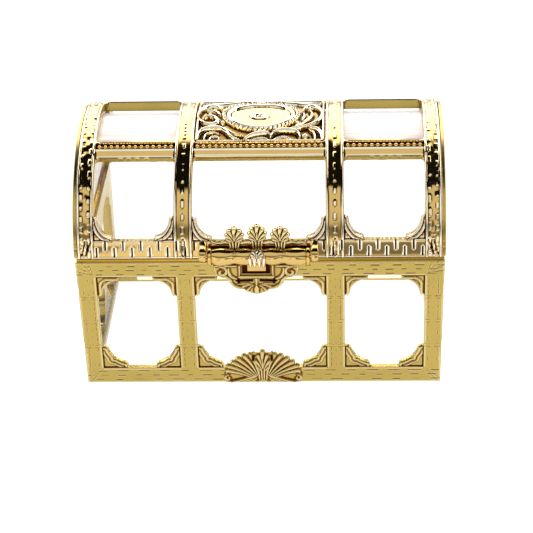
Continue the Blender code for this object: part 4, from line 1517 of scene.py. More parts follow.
  def _brackets(self, u: Array, v: Array, windows: list[Window], depth: Array) -> Array:
    """Lobed brackets at the windows' foot corners, with two ribs each."""
    in_window = window_distance(u, v, windows)
    inside = ease(0.0, 0.2, -in_window)
    free = -depth
    ribs = np.maximum(ridge(np.abs(free - 0.45), 0.42, 0.62),
                      ridge(np.abs(free - 1.55), 0.50, 0.72))
    seam = groove(in_window + 0.15, 0.2, 0.35) * (free > 0.1)
    return inside * (-0.30 + ribs) + seam * (in_window < 0.5)

  def _beads(self) -> None:
    """Rows of small round beads in the recess of the rails."""
    chest = self.shop.chest
    place = chest.barrel_place()
    level = (chest.arc(self.top_angle) + 0.65 + chest.arc(self.bead_angle) - 0.12) / 2
    edit = bmesh.new()
    for low, high, _ in self.spans():
      count = round((high - low - 0.6) / self.bead_pitch)
      pitch = (high - low - 0.6) / count
      for k in range(count):
        x = low + 0.3 + (k + 0.5) * pitch
        for side in (-1, 1):
          spot = place(np.array([[x, side * level, -0.42]]))[0]
          bmesh.ops.create_icosphere(edit, subdivisions=2, radius=0.62,
                                     matrix=Matrix.Translation(spot))
    obj = mesh_object("lid_bead_rows", finished(edit, "lid_bead_rows"))
    self.shop.file(obj, self.shop.bright, "lid", "lid_gold")


@dataclass
class MedallionRelief:
  """Relief panel on the lid's crown: an oval medallion among scrolls and leaves."""

  shop: Workshop
  ground: float = -1.35
  half_oval: Pair = (11.6, 9.6)
  rope: float = 0.62

  def strokes(self) -> StrokeField:
    """Scrolls and leaves round the oval, as seen from the front edge up."""
    fine, bold = (0.22, 0.42, 0.5, 0.4, 0.2), (0.3, 0.6, 0.75, 0.6, 0.35)
    lines = [
        (((-4.9, -15.2), (-3.3, -13.0), (-0.7, -11.5), (1.9, -11.4), (3.3, -12.7)), bold, 1.7),
        (((-3.7, -15.3), (-1.7, -14.2), (0.5, -13.7), (2.3, -14.2), (3.1, -15.4)), fine, 1.3),
        (((3.3, -13.4), (4.3, -11.2), (6.8, -9.9), (10.2, -10.3), (11.7, -11.8),
          (12.1, -14.0)), bold, 1.7),
        (((3.7, -15.2), (5.1, -13.9), (7.2, -13.3), (9.0, -14.2), (9.9, -15.5)), fine, 1.3),
        (((8.8, -10.0), (12.1, -8.9), (15.1, -7.6), (17.6, -5.2), (18.7, -1.2), (17.9, 3.2),
          (15.8, 5.6), (13.7, 4.2), (12.9, 1.5)), bold, 1.7),
        (((10.8, -7.8), (12.9, -6.2), (15.0, -3.2), (15.7, -0.6), (15.0, 1.2)), fine, 1.4),
        (((12.6, -3.9), (13.3, -1.6), (13.1, 0.6)), fine, 1.2),
        (((15.0, -8.6), (17.0, -9.2), (18.4, -11.4), (18.8, -14.0), (18.7, -15.4)), bold, 1.5),
        (((14.7, -9.6), (16.2, -11.3), (16.6, -13.4), (16.5, -15.4)), fine, 1.3),
        (((-19.0, -3.6), (-19.1, -0.4), (-18.2, 3.6), (-16.2, 6.0), (-13.7, 5.9),
          (-11.9, 3.9)), bold, 1.7),
        (((-19.0, -3.4), (-17.1, -5.8), (-14.8, -6.5), (-13.2, -5.1), (-13.6, -2.8),
          (-15.4, -1.4), (-17.0, -2.0)), bold, 1.5),
        (((-16.6, 3.4), (-14.8, 2.8), (-13.0, 1.2), (-12.4, -0.6)), fine, 1.2),
        (((-18.6, -14.2), (-18.4, -11.3), (-17.0, -9.2), (-14.6, -8.4), (-12.1, -8.7),
          (-10.1, -10.6), (-8.5, -13.2), (-5.9, -14.8)), bold, 1.6),
        (((-16.7, -14.6), (-16.4, -12.0), (-14.5, -10.6), (-12.4, -11.4)), fine, 1.2),
        (((-15.0, -15.2), (-14.8, -13.6), (-13.4, -12.9), (-12.2, -13.9),
          (-12.7, -15.1)), fine, 1.4),
        (((-11.0, -8.3), (-9.6, -10.0), (-7.6, -11.6), (-5.2, -12.4)), fine, 1.3),
        (((-18.4, 9.6), (-14.0, 9.0), (-10.4, 10.6), (-6.0, 12.0)), bold, 1.3),
        (((18.2, 9.8), (14.0, 9.2), (10.4, 10.8), (6.0, 12.2)), bold, 1.3),
        (((-16.8, 12.6), (-13.4, 11.6), (-10.6, 12.8)), fine, 1.1),
        (((16.8, 12.6), (13.4, 11.6), (10.6, 12.8)), fine, 1.1),
        (((-4.6, 12.9), (-1.6, 11.7), (0.0, 12.6), (1.6, 11.7), (4.6, 12.9)), fine, 1.3),
    ]
    made = [Stroke(tuple(smooth_line(points)), radii, rise) for points, radii, rise in lines]
    made += [Stroke(((u, v), (u + 0.05, v)), (r,), 1.5) for u, v, r in
             ((13.6, -12.8, 1.0), (-15.6, -0.2, 0.6), (14.9, 3.2, 0.7), (-11.4, -5.6, 0.7),
              (3.4, -12.4, 0.55), (11.2, -6.0, 0.6), (-7.0, -14.0, 0.5))]
    return StrokeField(made)

  def build(self) -> None:
    """Make the panel."""
    chest = self.shop.chest
    half, edge = chest.middle_window / 2 - 0.3, chest.arc(BarrelRelief.top_angle) - 0.1
    strokes = self.strokes()
    oval_u, oval_v = self.half_oval

    def distance(u: Array, v: Array) -> Array:
      """Signed distance to the panel."""
      return box_distance(u, v, (-half, -edge), (half, edge), 1.2)

    def relief(u: Array, v: Array) -> Array:
      """Height of the panel's face."""
      radius = np.hypot(u / oval_u, v / oval_v)
      scale = (oval_u + oval_v) / 2
      from_oval = (radius - 1) * scale
      angle = np.arctan2(v / oval_v, u / oval_u)
      inside = from_oval < 0
      height = self.ground + strokes.height(u, v) * ~inside
      rim = np.abs(distance(u, v) + 0.45)
      height = np.maximum(height, self.ground + ridge(rim, 0.5, 1.25))
      twist = 0.78 + 0.22 * np.cos(48 * angle + 4.0 * from_oval)
      rope = ridge(np.abs(from_oval + 0.25), self.rope, 1.0) * twist * 1.75
      height = np.maximum(height, self.ground + rope)
      cord = ridge(np.abs(from_oval + 1.55), 0.7, 1.3)
      height = np.maximum(height, self.ground + cord * (np.abs(from_oval + 1.55) < 0.7))
      plate = from_oval < -2.35
      dish = self.ground + 0.5 + 0.45 * np.clip(radius / 0.8, 0, 1) ** 2
      for level in (0.64, 0.5, 0.37):
        dish += 0.17 * np.cos(np.clip((radius - level) / 0.055, -np.pi, np.pi))
      height = np.where(plate, np.maximum(height, dish), height)
      eye = np.hypot((u + 0.5) / 2.0, (v + 0.6) / 1.75)
      height += 0.75 * ridge(np.abs(eye - 1) * 1.8, 0.75, 1.0) * plate
      dimple = np.hypot(u + 0.3, v + 0.3)
      height += (ridge(dimple, 0.95, 0.7) - 1.1 * (dimple < 0.45)) * plate
      return height

    def ground(u: Array, v: Array) -> Array:
      """Whether a place belongs to the sunk matt ground."""
      low = relief(u, v) < self.ground + 0.22
      return (low & (np.hypot(u / oval_u, v / oval_v) > 0.9)).astype(float)

    lines_u = grid_lines(-half, half, 0.15)
    lines_v = grid_lines(-edge, edge, 0.15)
    sheet = ReliefSheet("lid_medallion_relief", lines_u, lines_v, distance, relief,
                        -chest.wall, chest.barrel_place(), ground)
    self.shop.file(sheet.build(), self.shop.bright, "lid", "lid_gold",
                   ["lid_medallion_panel"], self.shop.satin, self.shop.ground)


@dataclass
class LidEnd:
  """Arched end frame of the lid, with two windows, a beaded arch and engraved dashes."""

  shop: Workshop
  hand: int
  band: float = 5.6
  foot: float = 5.8
  thick: float = 0.9

  def build(self) -> None:
    """Make the end frame."""
    chest = self.shop.chest
    half_u, half_v = chest.half_depth - chest.end_inset, chest.lid_height - chest.end_inset
    lean_u, lean_v = half_u - self.band, half_v - self.band
    post = chest.post / 2

    def ellipse(u: Array, v: Array, a: float, b: float) -> Array:
      """Signed distance to a half-ellipse arch, near its edge."""
      k = np.hypot(u / a, v / b)
      slope = np.hypot(u / (a * a), v / (b * b)) / np.maximum(k, 1e-6)
      return (k - 1) / np.maximum(slope, 1e-6)

    def distance(u: Array, v: Array) -> Array:
      """Signed distance to the frame's material."""
      outer = np.maximum(ellipse(u, v, half_u, half_v), -v)
      arch = ellipse(u, v, lean_u, lean_v)
      hole = np.maximum(np.maximum(arch, self.foot - v), post - np.abs(u))
      return np.maximum(outer, -hole)

    def relief(u: Array, v: Array) -> Array:
      """Height of the face."""
      depth = distance(u, v)
      arch = -ellipse(u, v, half_u, half_v)
      result = -0.15 * (1 - ease(0.0, 0.25, -depth))
      result += ridge(np.abs(arch - 0.75), 0.5, 0.14) * (v > 0.5)
      angle = np.arctan2(v / half_v, u / half_u)
      cell, along = paced(angle * 26, 1.0)
      half = 0.3 + 0.35 * jitter(cell, 2.0)
      for level in (2.3, 3.9):
        away = dash_distance(along * 1.5, arch - level, half)
        result += groove(away, 0.15, 0.16) * (v > self.foot)
      for level, seed in ((1.3, 3.0), (2.9, 5.0), (4.5, 8.0)):
        cell, along = paced(u, 5.2, 100)
        half = 0.6 + 0.8 * jitter(cell, seed)
        away = dash_distance(along, v - level, half)
        result += groove(away, 0.14, 0.16) * (arch > 1.6)
      window = np.abs(np.abs(u) - post - 0.5)
      result += ridge(window, 0.4, 0.1) * (v > self.foot + 0.4) * (np.abs(u) < post)
      return result

    out = self.hand * (chest.barrel_half + 0.3)

    def place(points: Array) -> Array:
      """Flat points to the end plane."""
      x = out + self.hand * (self.thick + points[:, 2])
      return np.stack([x, chest.middle_y + self.hand * points[:, 0],
                       chest.lid_foot + points[:, 1]], 1)

    lines_u = grid_lines(-half_u, half_u, 0.3)
    lines_v = grid_lines(0.0, half_v, 0.26)
    name = "lid_right_end" if self.hand > 0 else "lid_left_end"
    sheet = ReliefSheet(name + "_moulding", lines_u, lines_v, distance, relief, -self.thick,
                        place)
    self.shop.file(sheet.build(), self.shop.satin, "lid", "lid_gold", [name])


@dataclass
class Palmette:
  """Fan of full rounded leaves over a fluted stem."""

  half: float
  height: float

  def strokes(self, centre: float = 0.0, foot: float = 0.0) -> list[Stroke]:
    """Leaves, flutes and middle drop of one palmette."""
    half, height = self.half, self.height
    tips = ((0.0, 0.90, 0.27), (0.52, 0.79, 0.25), (0.76, 0.60, 0.24), (0.68, 0.41, 0.20))
    made: list[Stroke] = []
    for u, v, radius in tips:
      for hand in (-1, 1) if u else (1,):
        start = (hand * u * 0.25 * half, (v * 0.45 + 0.12) * height)
        made.append(bow(start, (hand * u * half, v * height), hand * 0.05 * half,
                        (0.10 * half, 0.8 * radius * half, radius * half), 1.0))
    for flute in (-0.48, -0.16, 0.16, 0.48):
      made.append(bow((flute * half * 0.8, 0.02 * height),
                      (flute * half * 1.15, 0.42 * height), 0.0,
                      (0.13 * half, 0.17 * half), 0.85))
    made.append(bow((0.0, 0.42 * height), (0.0, 0.70 * height), 0.0,
                    (0.17 * half, 0.10 * half), 1.3))
    return [Stroke(tuple((u + centre, v + foot) for u, v in s.points), s.radii, s.rise)
            for s in made]


def stroke_sheet(name: str, strokes: StrokeField, place: Place, thick: float, rise: float,
                 pitch: float, backing: Points | None = None, holes: Sequence[Points] = (),
                 margin: float = 0.12, ground: float = 0.3) -> ReliefSheet:
  """Relief sheet whose outline is that of its strokes and of a backing plate.

  Args:
      name: Name of the piece.
      strokes: Raised lines.
      place: Where it goes.
      thick: Height of the backing over the flat back.
      rise: Height of a stroke of rise 1 over the backing.
      pitch: Grid step.
      backing: Outline of the plate under the strokes.
      holes: Openings through it.
      margin: How far the material reaches past the strokes.
      ground: Depth of the edge's rounding.
  """
  cloud = np.array([p for s in strokes.strokes for p in s.points] + list(backing or []))
  reach = max(max(s.radii) for s in strokes.strokes) + 0.4
  low, high = cloud.min(0) - reach, cloud.max(0) + reach

  def distance(u: Array, v: Array) -> Array:
    """Signed distance to the material."""
    result = strokes.distance(u, v) - margin
    if backing:
      result = np.minimum(result, polygon_distance(u, v, backing))
    return pierced(u, v, result, holes)

  def relief(u: Array, v: Array) -> Array:
    """Height of the face."""
    edge = -ground * (1 - ease(0.0, 0.3, -distance(u, v)))
    return thick + edge + rise * strokes.height(u, v)

  return ReliefSheet(name, grid_lines(low[0], high[0], pitch),
                     grid_lines(low[1], high[1], pitch), distance, relief, 0.0, place)


@dataclass
class Crest:
  """Three palmettes on a rail along the lid's front."""

  shop: Workshop
  pitch: float = 6.75
  foot: float = 49.3
  shift: float = -0.4
  half: float = 2.85

  def build(self) -> None:
    """Make the crest."""
    strokes: list[Stroke] = []
    for k, height in ((-1, 6.6), (0, 7.5), (1, 6.7)):
      strokes += Palmette(self.half, height).strokes(k * self.pitch + self.shift, self.foot)
    wave = []
    for k in range(81):
      u = -13.8 + 27.6 * k / 80
      wave.append((u, self.foot + 1.75 + 0.14 * math.cos(2 * math.pi * u / 3.3)))
    strokes.append(Stroke(tuple(wave), (0.35, 0.55, 0.55, 0.35), 0.55))
    backing = [(-14.2, self.foot + 0.5), (14.2, self.foot + 0.5), (14.2, self.foot + 1.9),
               (-14.2, self.foot + 1.9)]
    sheet = stroke_sheet("lid_palmette_crest_relief", StrokeField(strokes),
                         self.shop.chest.upright_place(0.3), 0.45, 0.95, 0.1, backing)
    self.shop.file(sheet.build(), self.shop.cast, "lid", "lid_gold",
                   ["lid_palmette_crest"])


@dataclass
class Lid:
  """The moving half of the chest."""

  shop: Workshop
  sheet_gap: float = 3.0
  sheet_thick: float = 0.6

  def build(self) -> None:
    """Make every piece of the lid."""
    BarrelRelief(self.shop).build()
    MedallionRelief(self.shop).build()
    for hand in (-1, 1):
      LidEnd(self.shop, hand).build()
    Crest(self.shop).build()
    self._barrel_sheet()
    for node in ("lid_left_pane", "lid_right_pane"):
      self.shop.dress(node, self.shop.milky)

  def _barrel_sheet(self) -> None:
    """Clear sheet bent to the inside of the barrel."""
    chest = self.shop.chest
    half = float(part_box("lid_barrel_pane")[1][0]) / MM
    stops = [chest.arc(a) for a in np.linspace(-84.5, 84.5, 120)]
    place = chest.barrel_place()
    rings = []
    for x in (-half, half):
      outer = [(x, s, -self.sheet_gap) for s in stops]
      inner = [(x, s, -self.sheet_gap - self.sheet_thick) for s in reversed(stops)]
      rings.append(place(np.array(outer + inner)))
    mesh = swept_mesh("lid_barrel_sheet", np.array(rings))
    edit = bmesh.new()
    edit.from_mesh(mesh)
    ends = [face for face in edit.faces if len(face.verts) > 4]
    bmesh.ops.triangulate(edit, faces=ends)
    edit.to_mesh(mesh)
    edit.free()
    obj = mesh_object("lid_barrel_sheet", mesh, sharp=35)
    self.shop.file(obj, self.shop.pearl, "lid", "clear", ["lid_barrel_pane"])


# ------------------------------------------------------------------ front ornaments and clasp

@dataclass
class Shell:
  """Ribbed shell on the foot rail."""

  shop: Workshop
  spread: Triple = (1.09, 1.06, 1.0)

  def build(self) -> None:
    """Make the shell."""
    ribs: list[Stroke] = []
    tips = ((3.4, 10.3), (5.2, 9.9), (6.9, 8.9), (8.4, 7.7), (9.6, 6.3), (10.1, 4.8))
    for k, (u, v) in enumerate(tips):
      start = (1.3 + 0.25 * k, 3.6 - 0.28 * k)
      ribs.append(bow(start, (u, v), 0.35, (0.22, 0.42, 0.62), 1.0))
    ribs.append(bow((2.0, 3.2), (9.0, 0.95), -0.3, (0.5, 0.4, 0.3), 1.1))
    ribs.append(bow((3.2, 1.9), (6.2, 0.9), -0.1, (0.3, 0.25), 0.7))
    ribs.append(scroll((9.9, 2.3), (1.0, 0.3), (90, -230), (0.35, 0.42, 0.3), 0.9))
    strokes = mirrored(ribs)
    strokes += Palmette(2.5, 10.6).strokes(0.0, 1.6)
    strokes.append(bow((-1.4, 1.1), (1.4, 1.1), 0.3, (0.35, 0.55, 0.35), 1.1))
    right = [(10.6, 0.4), (10.5, 4.6), (9.6, 6.5), (8.2, 8.0), (6.6, 9.2), (4.9, 10.1),
             (3.2, 10.5), (2.0, 10.9)]
    backing = right + [(-u, v) for u, v in reversed(right)]
    slots = [[(h * 2.3, 8.3), (h * 2.95, 8.4), (h * 2.9, 10.2), (h * 2.35, 10.1)]
             for h in (-1, 1)]
    flat = self.shop.chest.wall_place(Side.FRONT, 0.3)
    behind = self.shop.chest.wall_place(Side.FRONT, 0.05)

    def place(points: Array) -> Array:
      """Flat points drawn out to the shell's full spread."""
      return flat(points * np.array(self.spread))

    sheet = stroke_sheet("shell_relief", StrokeField(strokes), place, 0.75, 0.75, 0.12,
                         backing, slots)
    # Dark sheets behind the shell's two slots: painted shade for the shadow inside them.
    for number, hand in enumerate((-1, 1)):
      shade_sheet = stroke_sheet(f"shell_slot_painted_shade_{number + 1}", StrokeField([
          bow((hand * 2.84, 8.6), (hand * 2.84, 10.9), 0.0, (0.5, 0.5), 0.05)]),
          behind, 0.2, 0.05, 0.2)
      self.shop.file(shade_sheet.build(), self.shop.shade, "base", "gold")
    self.shop.file(sheet.build(), self.shop.satin, "base", "gold", ["shell_ornament"])


@dataclass
class LockPlate:
  """Scrolled plate with the slot for the clasp's tongue."""

  shop: Workshop
  shift: float = -1.0
  slot_half: float = 4.2
  slot_foot: float = 40.4

  def build(self) -> None:
    """Make the plate."""
    arms = [
        bow((12.4, 43.4), (6.0, 43.3), 0.05, (0.3, 0.4, 0.4), 0.7),
        scroll((10.2, 41.3), (2.0, 0.5), (75, 400), (0.45, 0.6, 0.5, 0.45), 1.15),
        bow((9.3, 39.6), (7.6, 37.6), -0.35, (0.55, 0.6), 1.0),
        bow((8.2, 42.5), (6.0, 38.9), 0.9, (0.4, 0.6, 0.4), 1.0),
        bow((7.6, 37.6), (4.4, 35.5), 0.5, (0.6, 0.55, 0.5), 1.1),
        bow((1.2, 36.7), (4.2, 35.9), 0.25, (0.2, 0.45), 0.8),
        bow((0.9, 36.6), (2.9, 34.6), 0.2, (0.2, 0.5), 1.0),
        bow((4.95, 43.4), (5.0, 40.2), 0.0, (0.35, 0.3), 0.8),
        bow((2.1, 36.95), (5.6, 36.9), 0.1, (0.25, 0.3, 0.25), 0.6),
    ]
    strokes = mirrored(arms)
    strokes.append(bow((0.0, 36.6), (0.0, 34.0), 0.0, (0.3, 0.8, 0.7), 1.2))
    strokes.append(bow((-5.0, 39.5), (5.0, 39.5), 0.0, (0.5, 0.42, 0.5), 0.9))
    strokes.append(bow((0.0, 38.8), (0.0, 37.0), 0.0, (0.5, 0.4), 0.9))
    right = [(self.slot_half, 43.8), (12.8, 43.8), (12.7, 41.6), (12.2, 40.0), (10.4, 39.0),
             (8.6, 38.7), (8.1, 37.6), (7.0, 36.2), (5.4, 35.2), (3.8, 34.8), (2.8, 34.0),
             (1.4, 33.4)]
    backing = [(-self.slot_half, self.slot_foot), (self.slot_half, self.slot_foot)]
    backing += right + [(0.0, 33.1)] + [(-u, v) for u, v in reversed(right)]
    slots = [[(h * 1.0, 37.6), (h * 4.8, 37.45), (h * 5.3, 37.1), (h * 6.3, 37.9),
              (h * 5.3, 38.7), (h * 4.8, 38.35), (h * 1.0, 38.5)] for h in (-1, 1)]
    slots.append([(-self.slot_half, self.slot_foot), (self.slot_half, self.slot_foot),
                  (self.slot_half, 45.0), (-self.slot_half, 45.0)])
    place = self.shop.chest.wall_place(Side.FRONT, 0.3, self.shift)
    sheet = stroke_sheet("lock_plate_relief", StrokeField(strokes), place, 0.8, 0.62, 0.1,
                         backing, slots, 0.05)
    self.shop.file(sheet.build(), self.shop.satin, "base", "gold", ["lock_plate"])
    # Dark sheet behind the tongue's slot and the side slots: painted shade for the shadow inside
    # them.
    shade_sheet = stroke_sheet("lock_slot_painted_shade", StrokeField([
        bow((-4.4, 42.0), (4.4, 42.0), 0.0, (0.4, 0.4), 0.5)]),
        self.shop.chest.wall_place(Side.FRONT, 0.05, self.shift), 0.18, 0.04, 0.3,
        [(-5.0, 43.7), (-5.0, 39.4), (-7.0, 39.0), (-7.0, 36.8), (7.0, 36.8), (7.0, 39.0),
         (5.0, 39.4), (5.0, 43.7)], (), 0.0, 0.0)
    self.shop.file(shade_sheet.build(), self.shop.shade, "base", "gold")


@dataclass
class Clasp:
  """Swinging half-round bar with its leaf, tongue and lugs."""

  shop: Workshop
  half: float = 15.2
  foot: float = 44.1
  head: float = 49.8
  back: float = 1.95
  bulge: float = 2.6
  lug: float = 2.2
  tongue: Triple = (2.7, 41.7, 0.75)
  tongue_shift: float = -0.8

  def section(self) -> Triple:
    """The bar's back plane, its middle height and its half height."""
    chest = self.shop.chest
    return (chest.middle_y - chest.half_depth - self.back, (self.foot + self.head) / 2,
            (self.head - self.foot) / 2)

  def build(self) -> None:
    """Make every piece of the clasp and its lugs."""
    self._bar()
    self._leaf()
    for hand in (-1, 1):
      self._lug(hand)
    self.shop.dress("clasp_pin", self.shop.wire)

  def _bar(self) -> None:
    """Bar with collars at its ends and a tongue behind it."""
    y_back, middle, radius = self.section()
    collars = ((0.0, 0.72), (0.12, 0.9), (0.35, 0.98), (1.0, 0.98), (1.2, 0.88),
               (1.45, 0.70), (1.8, 0.74), (2.8, 0.93), (4.0, 1.0), (5.4, 0.97), (6.6, 0.86),
               (7.3, 0.70), (7.9, 0.62), (8.7, 0.68), (9.9, 0.88), (11.0, 0.94),
               (12.2, 0.88), (13.2, 0.70))
    stations = [(-self.half + x, k) for x, k in collars]
    stations += [(0.0, 0.88)] + [(-x, k) for x, k in reversed(stations)]
    turns = np.radians(np.linspace(-90, 90, 33))
    rings = []
    for x, size in stations:
      bulge = self.bulge * size + 0.2 * math.sin(1.25 * x + 0.7) * np.sin(2 * turns)
      rise = radius * (0.45 + 0.55 * size) * np.sin(turns)
      rings.append(np.stack([np.full(turns.shape, x), y_back - bulge * np.cos(turns),
                             middle + rise], 1))
    bar = swept_mesh("bar", np.array(rings))
    half, low, thick = self.tongue
    y, upper, lower = y_back + self.back - 1.5, self.foot + 2.3, self.foot + 1.5
    outline = [(y, low + 0.2), (y + 0.15, low), (y + thick - 0.15, low),
               (y + thick, low + 0.2), (y + thick, upper), (y_back - 0.4, upper),
               (y_back - 0.4, lower), (y, lower)]
    rings = np.array([[(x + self.tongue_shift, b, z) for b, z in outline]
                      for x in (-half, half)])
    meshes = [bar, swept_mesh("tongue", rings)]
    obj = mesh_object("clasp_bar_moulding", joined("clasp_bar_moulding", meshes), sharp=40)
    self.shop.file(obj, self.shop.bright, "clasp", "lid_gold", ["clasp_bar"])

  def _leaf(self) -> None:
    """Fluted leaf wrapped round the middle of the bar."""
    y_back, middle, radius = self.section()

    def place(points: Array) -> Array:
      """Flat points laid on the bar's bulge."""
      t = np.clip((points[:, 1] - middle) / radius, -0.97, 0.97)
      lift = points[:, 2] - 0.5
      y = y_back - (self.bulge + lift) * np.sqrt(1 - t * t * 0.72) + 0.15
      return np.stack([points[:, 0], y, middle + (radius + lift * 0.4) * t], 1)

    shift = -0.5
    strokes = [bow((flute * 0.9 + shift, self.foot + 0.35), (flute + shift, self.head - 2.4),
                   0.0, (0.42, 0.5), 0.9) for flute in (-2.1, -0.75, 0.75, 2.1)]
    strokes += Palmette(2.0, 3.6).strokes(shift, self.head - 3.4)
    sheet = stroke_sheet("clasp_leaf_relief", StrokeField(strokes), place, 0.5, 0.6, 0.09)
    self.shop.file(sheet.build(), self.shop.bright, "clasp", "lid_gold")

  def _lug(self, hand: int) -> None:
    """Scrolled lug that holds one end of the pin."""
    chest = self.shop.chest
    front = chest.middle_y - chest.half_depth
    inner = self.half + 0.3
    outline = ((0.3, 45.7), (1.4, 45.3), (2.6, 45.4), (3.9, 46.0), (4.75, 47.0),
               (4.85, 48.3), (4.3, 49.6), (3.2, 50.3), (2.1, 50.4), (1.2, 50.9), (0.3, 51.3))
    smooth = np.array([(front - out, z) for out, z in outline])
    centre = smooth.mean(0)
    stations = ((0.0, 0.86), (0.25, 0.97), (0.7, 1.0), (self.lug - 0.5, 1.0),
                (self.lug - 0.15, 0.94), (self.lug, 0.82))
    rings = []
    for x, size in stations:
      ring = centre + (smooth - centre) * size
      ring[:, 0] = np.minimum(ring[:, 0], front - 0.3)
      rings.append([(hand * (inner + x), y, z) for y, z in ring])
    name = "clasp_right_lug" if hand > 0 else "clasp_left_lug"
    mesh = swept_mesh(name + "_moulding", np.array(rings))
    obj = mesh_object(name + "_moulding", mesh, sharp=55)
    soften = obj.modifiers.new("soften", "BEVEL")
    soften.width = 0.25 * MM
    soften.segments = 2
    soften.limit_method = "ANGLE"
    self.shop.file(obj, self.shop.bright, "lid", "lid_gold", [name])


# ------------------------------------------------------------------ studio

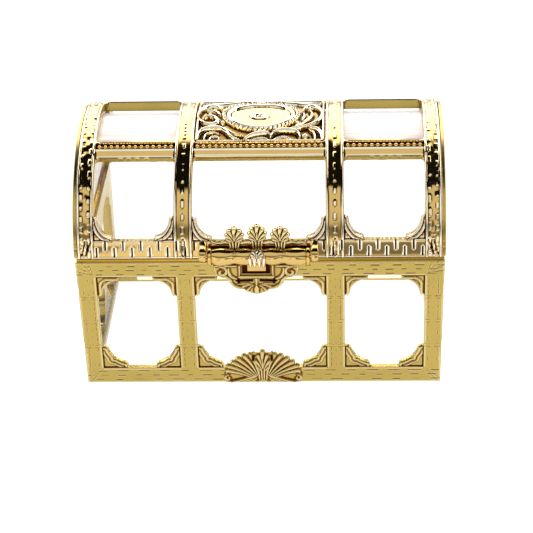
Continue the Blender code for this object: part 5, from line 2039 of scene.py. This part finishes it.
@dataclass
class Studio:
  """Pale floor, soft lights, a graded dome and the camera."""

  target: Triple = (0.0, 1.0, 37.0)
  pitch: float = 27.0
  yaw: float = 2.72
  roll: float = 1.65
  distance: float = 624.0
  scale: float = 3.1755
  centre: Pair = (264.2, 226.4)
  image: float = 533.0

  def build(self) -> None:
    """Make everything round the object."""
    self._floor()
    self._flags()
    self._lights()
    self._dome()
    self._camera()
    bpy.context.scene.view_settings.view_transform = "Standard"

  def _floor(self) -> None:
    """Wide pale light table just under the chest."""
    edit = bmesh.new()
    bmesh.ops.create_grid(edit, x_segments=8, y_segments=8, size=3.0)
    floor = add_object("studio_floor", finished(edit, "studio_floor"))
    floor.location.z = -0.0002
    material, graph, shader = start_material("pale_floor")
    noise = graph.node("TexNoise", Scale=3.0, Detail=2.0)
    tone = graph.blend(noise.outputs[0], (0.30, 0.30, 0.30, 1), (0.32, 0.32, 0.315, 1))
    graph.feed(shader.inputs["Base Color"], tone)
    shader.inputs["Emission Color"].default_value = (1.0, 1.0, 1.0, 1.0)
    seen = graph.node("LightPath").outputs["Is Camera Ray"]
    graph.feed(shader.inputs["Emission Strength"], graph.remap(seen, 0.0, 1.0, 0.84, 0.95))
    shader.inputs["Roughness"].default_value = 0.9
    shader.inputs["Specular IOR Level"].default_value = 0.1
    floor.data.materials.append(material)

  def _flags(self) -> None:
    """Dark cards flat on the floor, out of sight, that shade the plating's reflections."""
    for name, low, high, tone in (("studio_flag_right", (12, -520), (160, -140), 0.16),
                                  ("studio_flag_left", (-95, -330), (-66, -150), 0.12)):
      corners = (low, (high[0], low[1]), high, (low[0], high[1]))
      edit = bmesh.new()
      edit.faces.new([edit.verts.new((x * MM, y * MM, 0.0006)) for x, y in corners])
      flag = add_object(name, finished(edit, name))
      material, graph, shader = start_material(name)
      noise = graph.node("TexNoise", Scale=30.0, Detail=2.0)
      shader.inputs["Base Color"].default_value = (0.02, 0.02, 0.02, 1.0)
      graph.feed(shader.inputs["Emission Color"],
                 graph.blend(noise.outputs[0], (tone * 0.7,) * 3 + (1,),
                             (tone * 1.3,) * 3 + (1,)))
      shader.inputs["Emission Strength"].default_value = 1.0
      flag.data.materials.append(material)
      flag.visible_camera = False
      flag.visible_diffuse = False
      flag.visible_shadow = False

  def _lights(self) -> None:
    """Broad soft lights from above, from the front and from behind."""
    plan = (("key_light", (-0.5, -0.7, 1.5), 1.6, 11.0),
            ("fill_light", (0.9, -0.5, 1.2), 1.4, 6.0),
            ("rear_light", (0.1, 1.2, 1.1), 1.4, 7.0))
    for name, spot, size, power in plan:
      data = bpy.data.lights.new(name, "AREA")
      data.size = size
      data.energy = power
      light = add_object(name, data)
      light.location = spot
      aim = Vector((0, 0, 0.03)) - Vector(spot)
      light.rotation_euler = aim.to_track_quat("-Z", "Y").to_euler()
      light.visible_glossy = False

  def _dome(self) -> None:
    """Graded dome: bright behind and low in front, dark straight above, as a tent's gap."""
    world = bpy.data.worlds.new("studio_dome")
    bpy.context.scene.world = world
    world.use_nodes = True
    graph = Graph(world.node_tree)
    back = world.node_tree.nodes["Background"]
    direction = graph.node("TexCoord").outputs["Generated"]
    way = graph.node("SeparateXYZ", Vector=direction)
    front = graph.math("MULTIPLY", way.outputs[1], -1.0)
    turn = graph.math("ARCTAN2", way.outputs[2], front)
    share = graph.math("MULTIPLY", turn, 1 / math.pi)
    noise = graph.node("TexNoise", Vector=direction, Scale=3.0, Detail=1.0)
    wobble = graph.math("MULTIPLY", graph.math("SUBTRACT", noise.outputs[0], 0.5), 0.05)
    ramp = graph.node("ValToRGB", Fac=graph.math("ADD", share, wobble))
    stops = ((0.0, 0.75), (0.02, 0.30), (0.08, 0.22), (0.11, 0.80), (0.22, 0.95),
             (0.32, 0.90), (0.345, 0.010), (0.61, 0.008), (0.635, 1.6), (0.70, 4.2),
             (0.92, 3.2), (0.985, 0.5))
    band = ramp.color_ramp
    while len(band.elements) > 1:
      band.elements.remove(band.elements[-1])
    band.elements[0].position = stops[0][0]
    band.elements[0].color = (stops[0][1],) * 3 + (1,)
    for place, level in stops[1:]:
      element = band.elements.new(place)
      element.color = (level, level, level * 0.98, 1)
    seen = graph.node("LightPath").outputs["Is Camera Ray"]
    soft = graph.node("LightPath").outputs["Is Diffuse Ray"]
    toned = graph.blend(soft, ramp.outputs[0], (0.42, 0.42, 0.42, 1))
    colour = graph.blend(seen, toned, (1.0, 1.0, 1.0, 1))
    graph.feed(back.inputs["Color"], colour)
    back.inputs["Strength"].default_value = 1.0

  def _camera(self) -> None:
    """Camera at the fitted place, aimed so that it needs no shift."""
    pitch, yaw, roll = (math.radians(a) for a in (self.pitch, self.yaw, self.roll))
    back = Vector((math.sin(yaw) * math.cos(pitch), -math.cos(yaw) * math.cos(pitch),
                   math.sin(pitch)))
    right = Vector((math.cos(yaw), math.sin(yaw), 0.0))
    up = back.cross(right)
    turned_right = math.cos(roll) * right - math.sin(roll) * up
    turned_up = math.sin(roll) * right + math.cos(roll) * up
    focal = self.scale * self.distance
    spot = Vector(self.target) + back * self.distance
    middle = self.image / 2
    ahead = (-back + turned_right * ((middle - self.centre[0]) / focal)
             - turned_up * ((middle - self.centre[1]) / focal)).normalized()
    level = turned_right - ahead * turned_right.dot(ahead)
    level.normalize()
    rise = level.cross(ahead)
    data = bpy.data.cameras.new("studio_camera")
    data.sensor_width = 36.0
    data.lens = focal / self.image * data.sensor_width
    data.clip_start = 0.01
    data.clip_end = 20.0
    camera = add_object("studio_camera", data)
    basis = Matrix((level, rise, -ahead)).transposed().to_4x4()
    camera.matrix_world = Matrix.Translation(spot * MM) @ basis
    bpy.context.scene.camera = camera


def main() -> None:
  """Build the looks in order and report each piece."""
  logging.basicConfig(level=logging.INFO, format="%(name)s: %(message)s")
  Studio().build()
  effects = Effects()
  finishes = (SATIN_GOLD, BRIGHT_GOLD, CAST_GOLD, DEEP_GOLD, GROUND_GOLD, SLOT_SHADE, CLEAR,
              PEARL, MILKY, DrawnWire())
  shop = Workshop(ChestFrame(), *(finish.material(effects) for finish in finishes))
  for assembly in (Base, Lid, Shell, LockPlate, Clasp):
    assembly(shop).build()


if __name__ == "__main__":
  main()
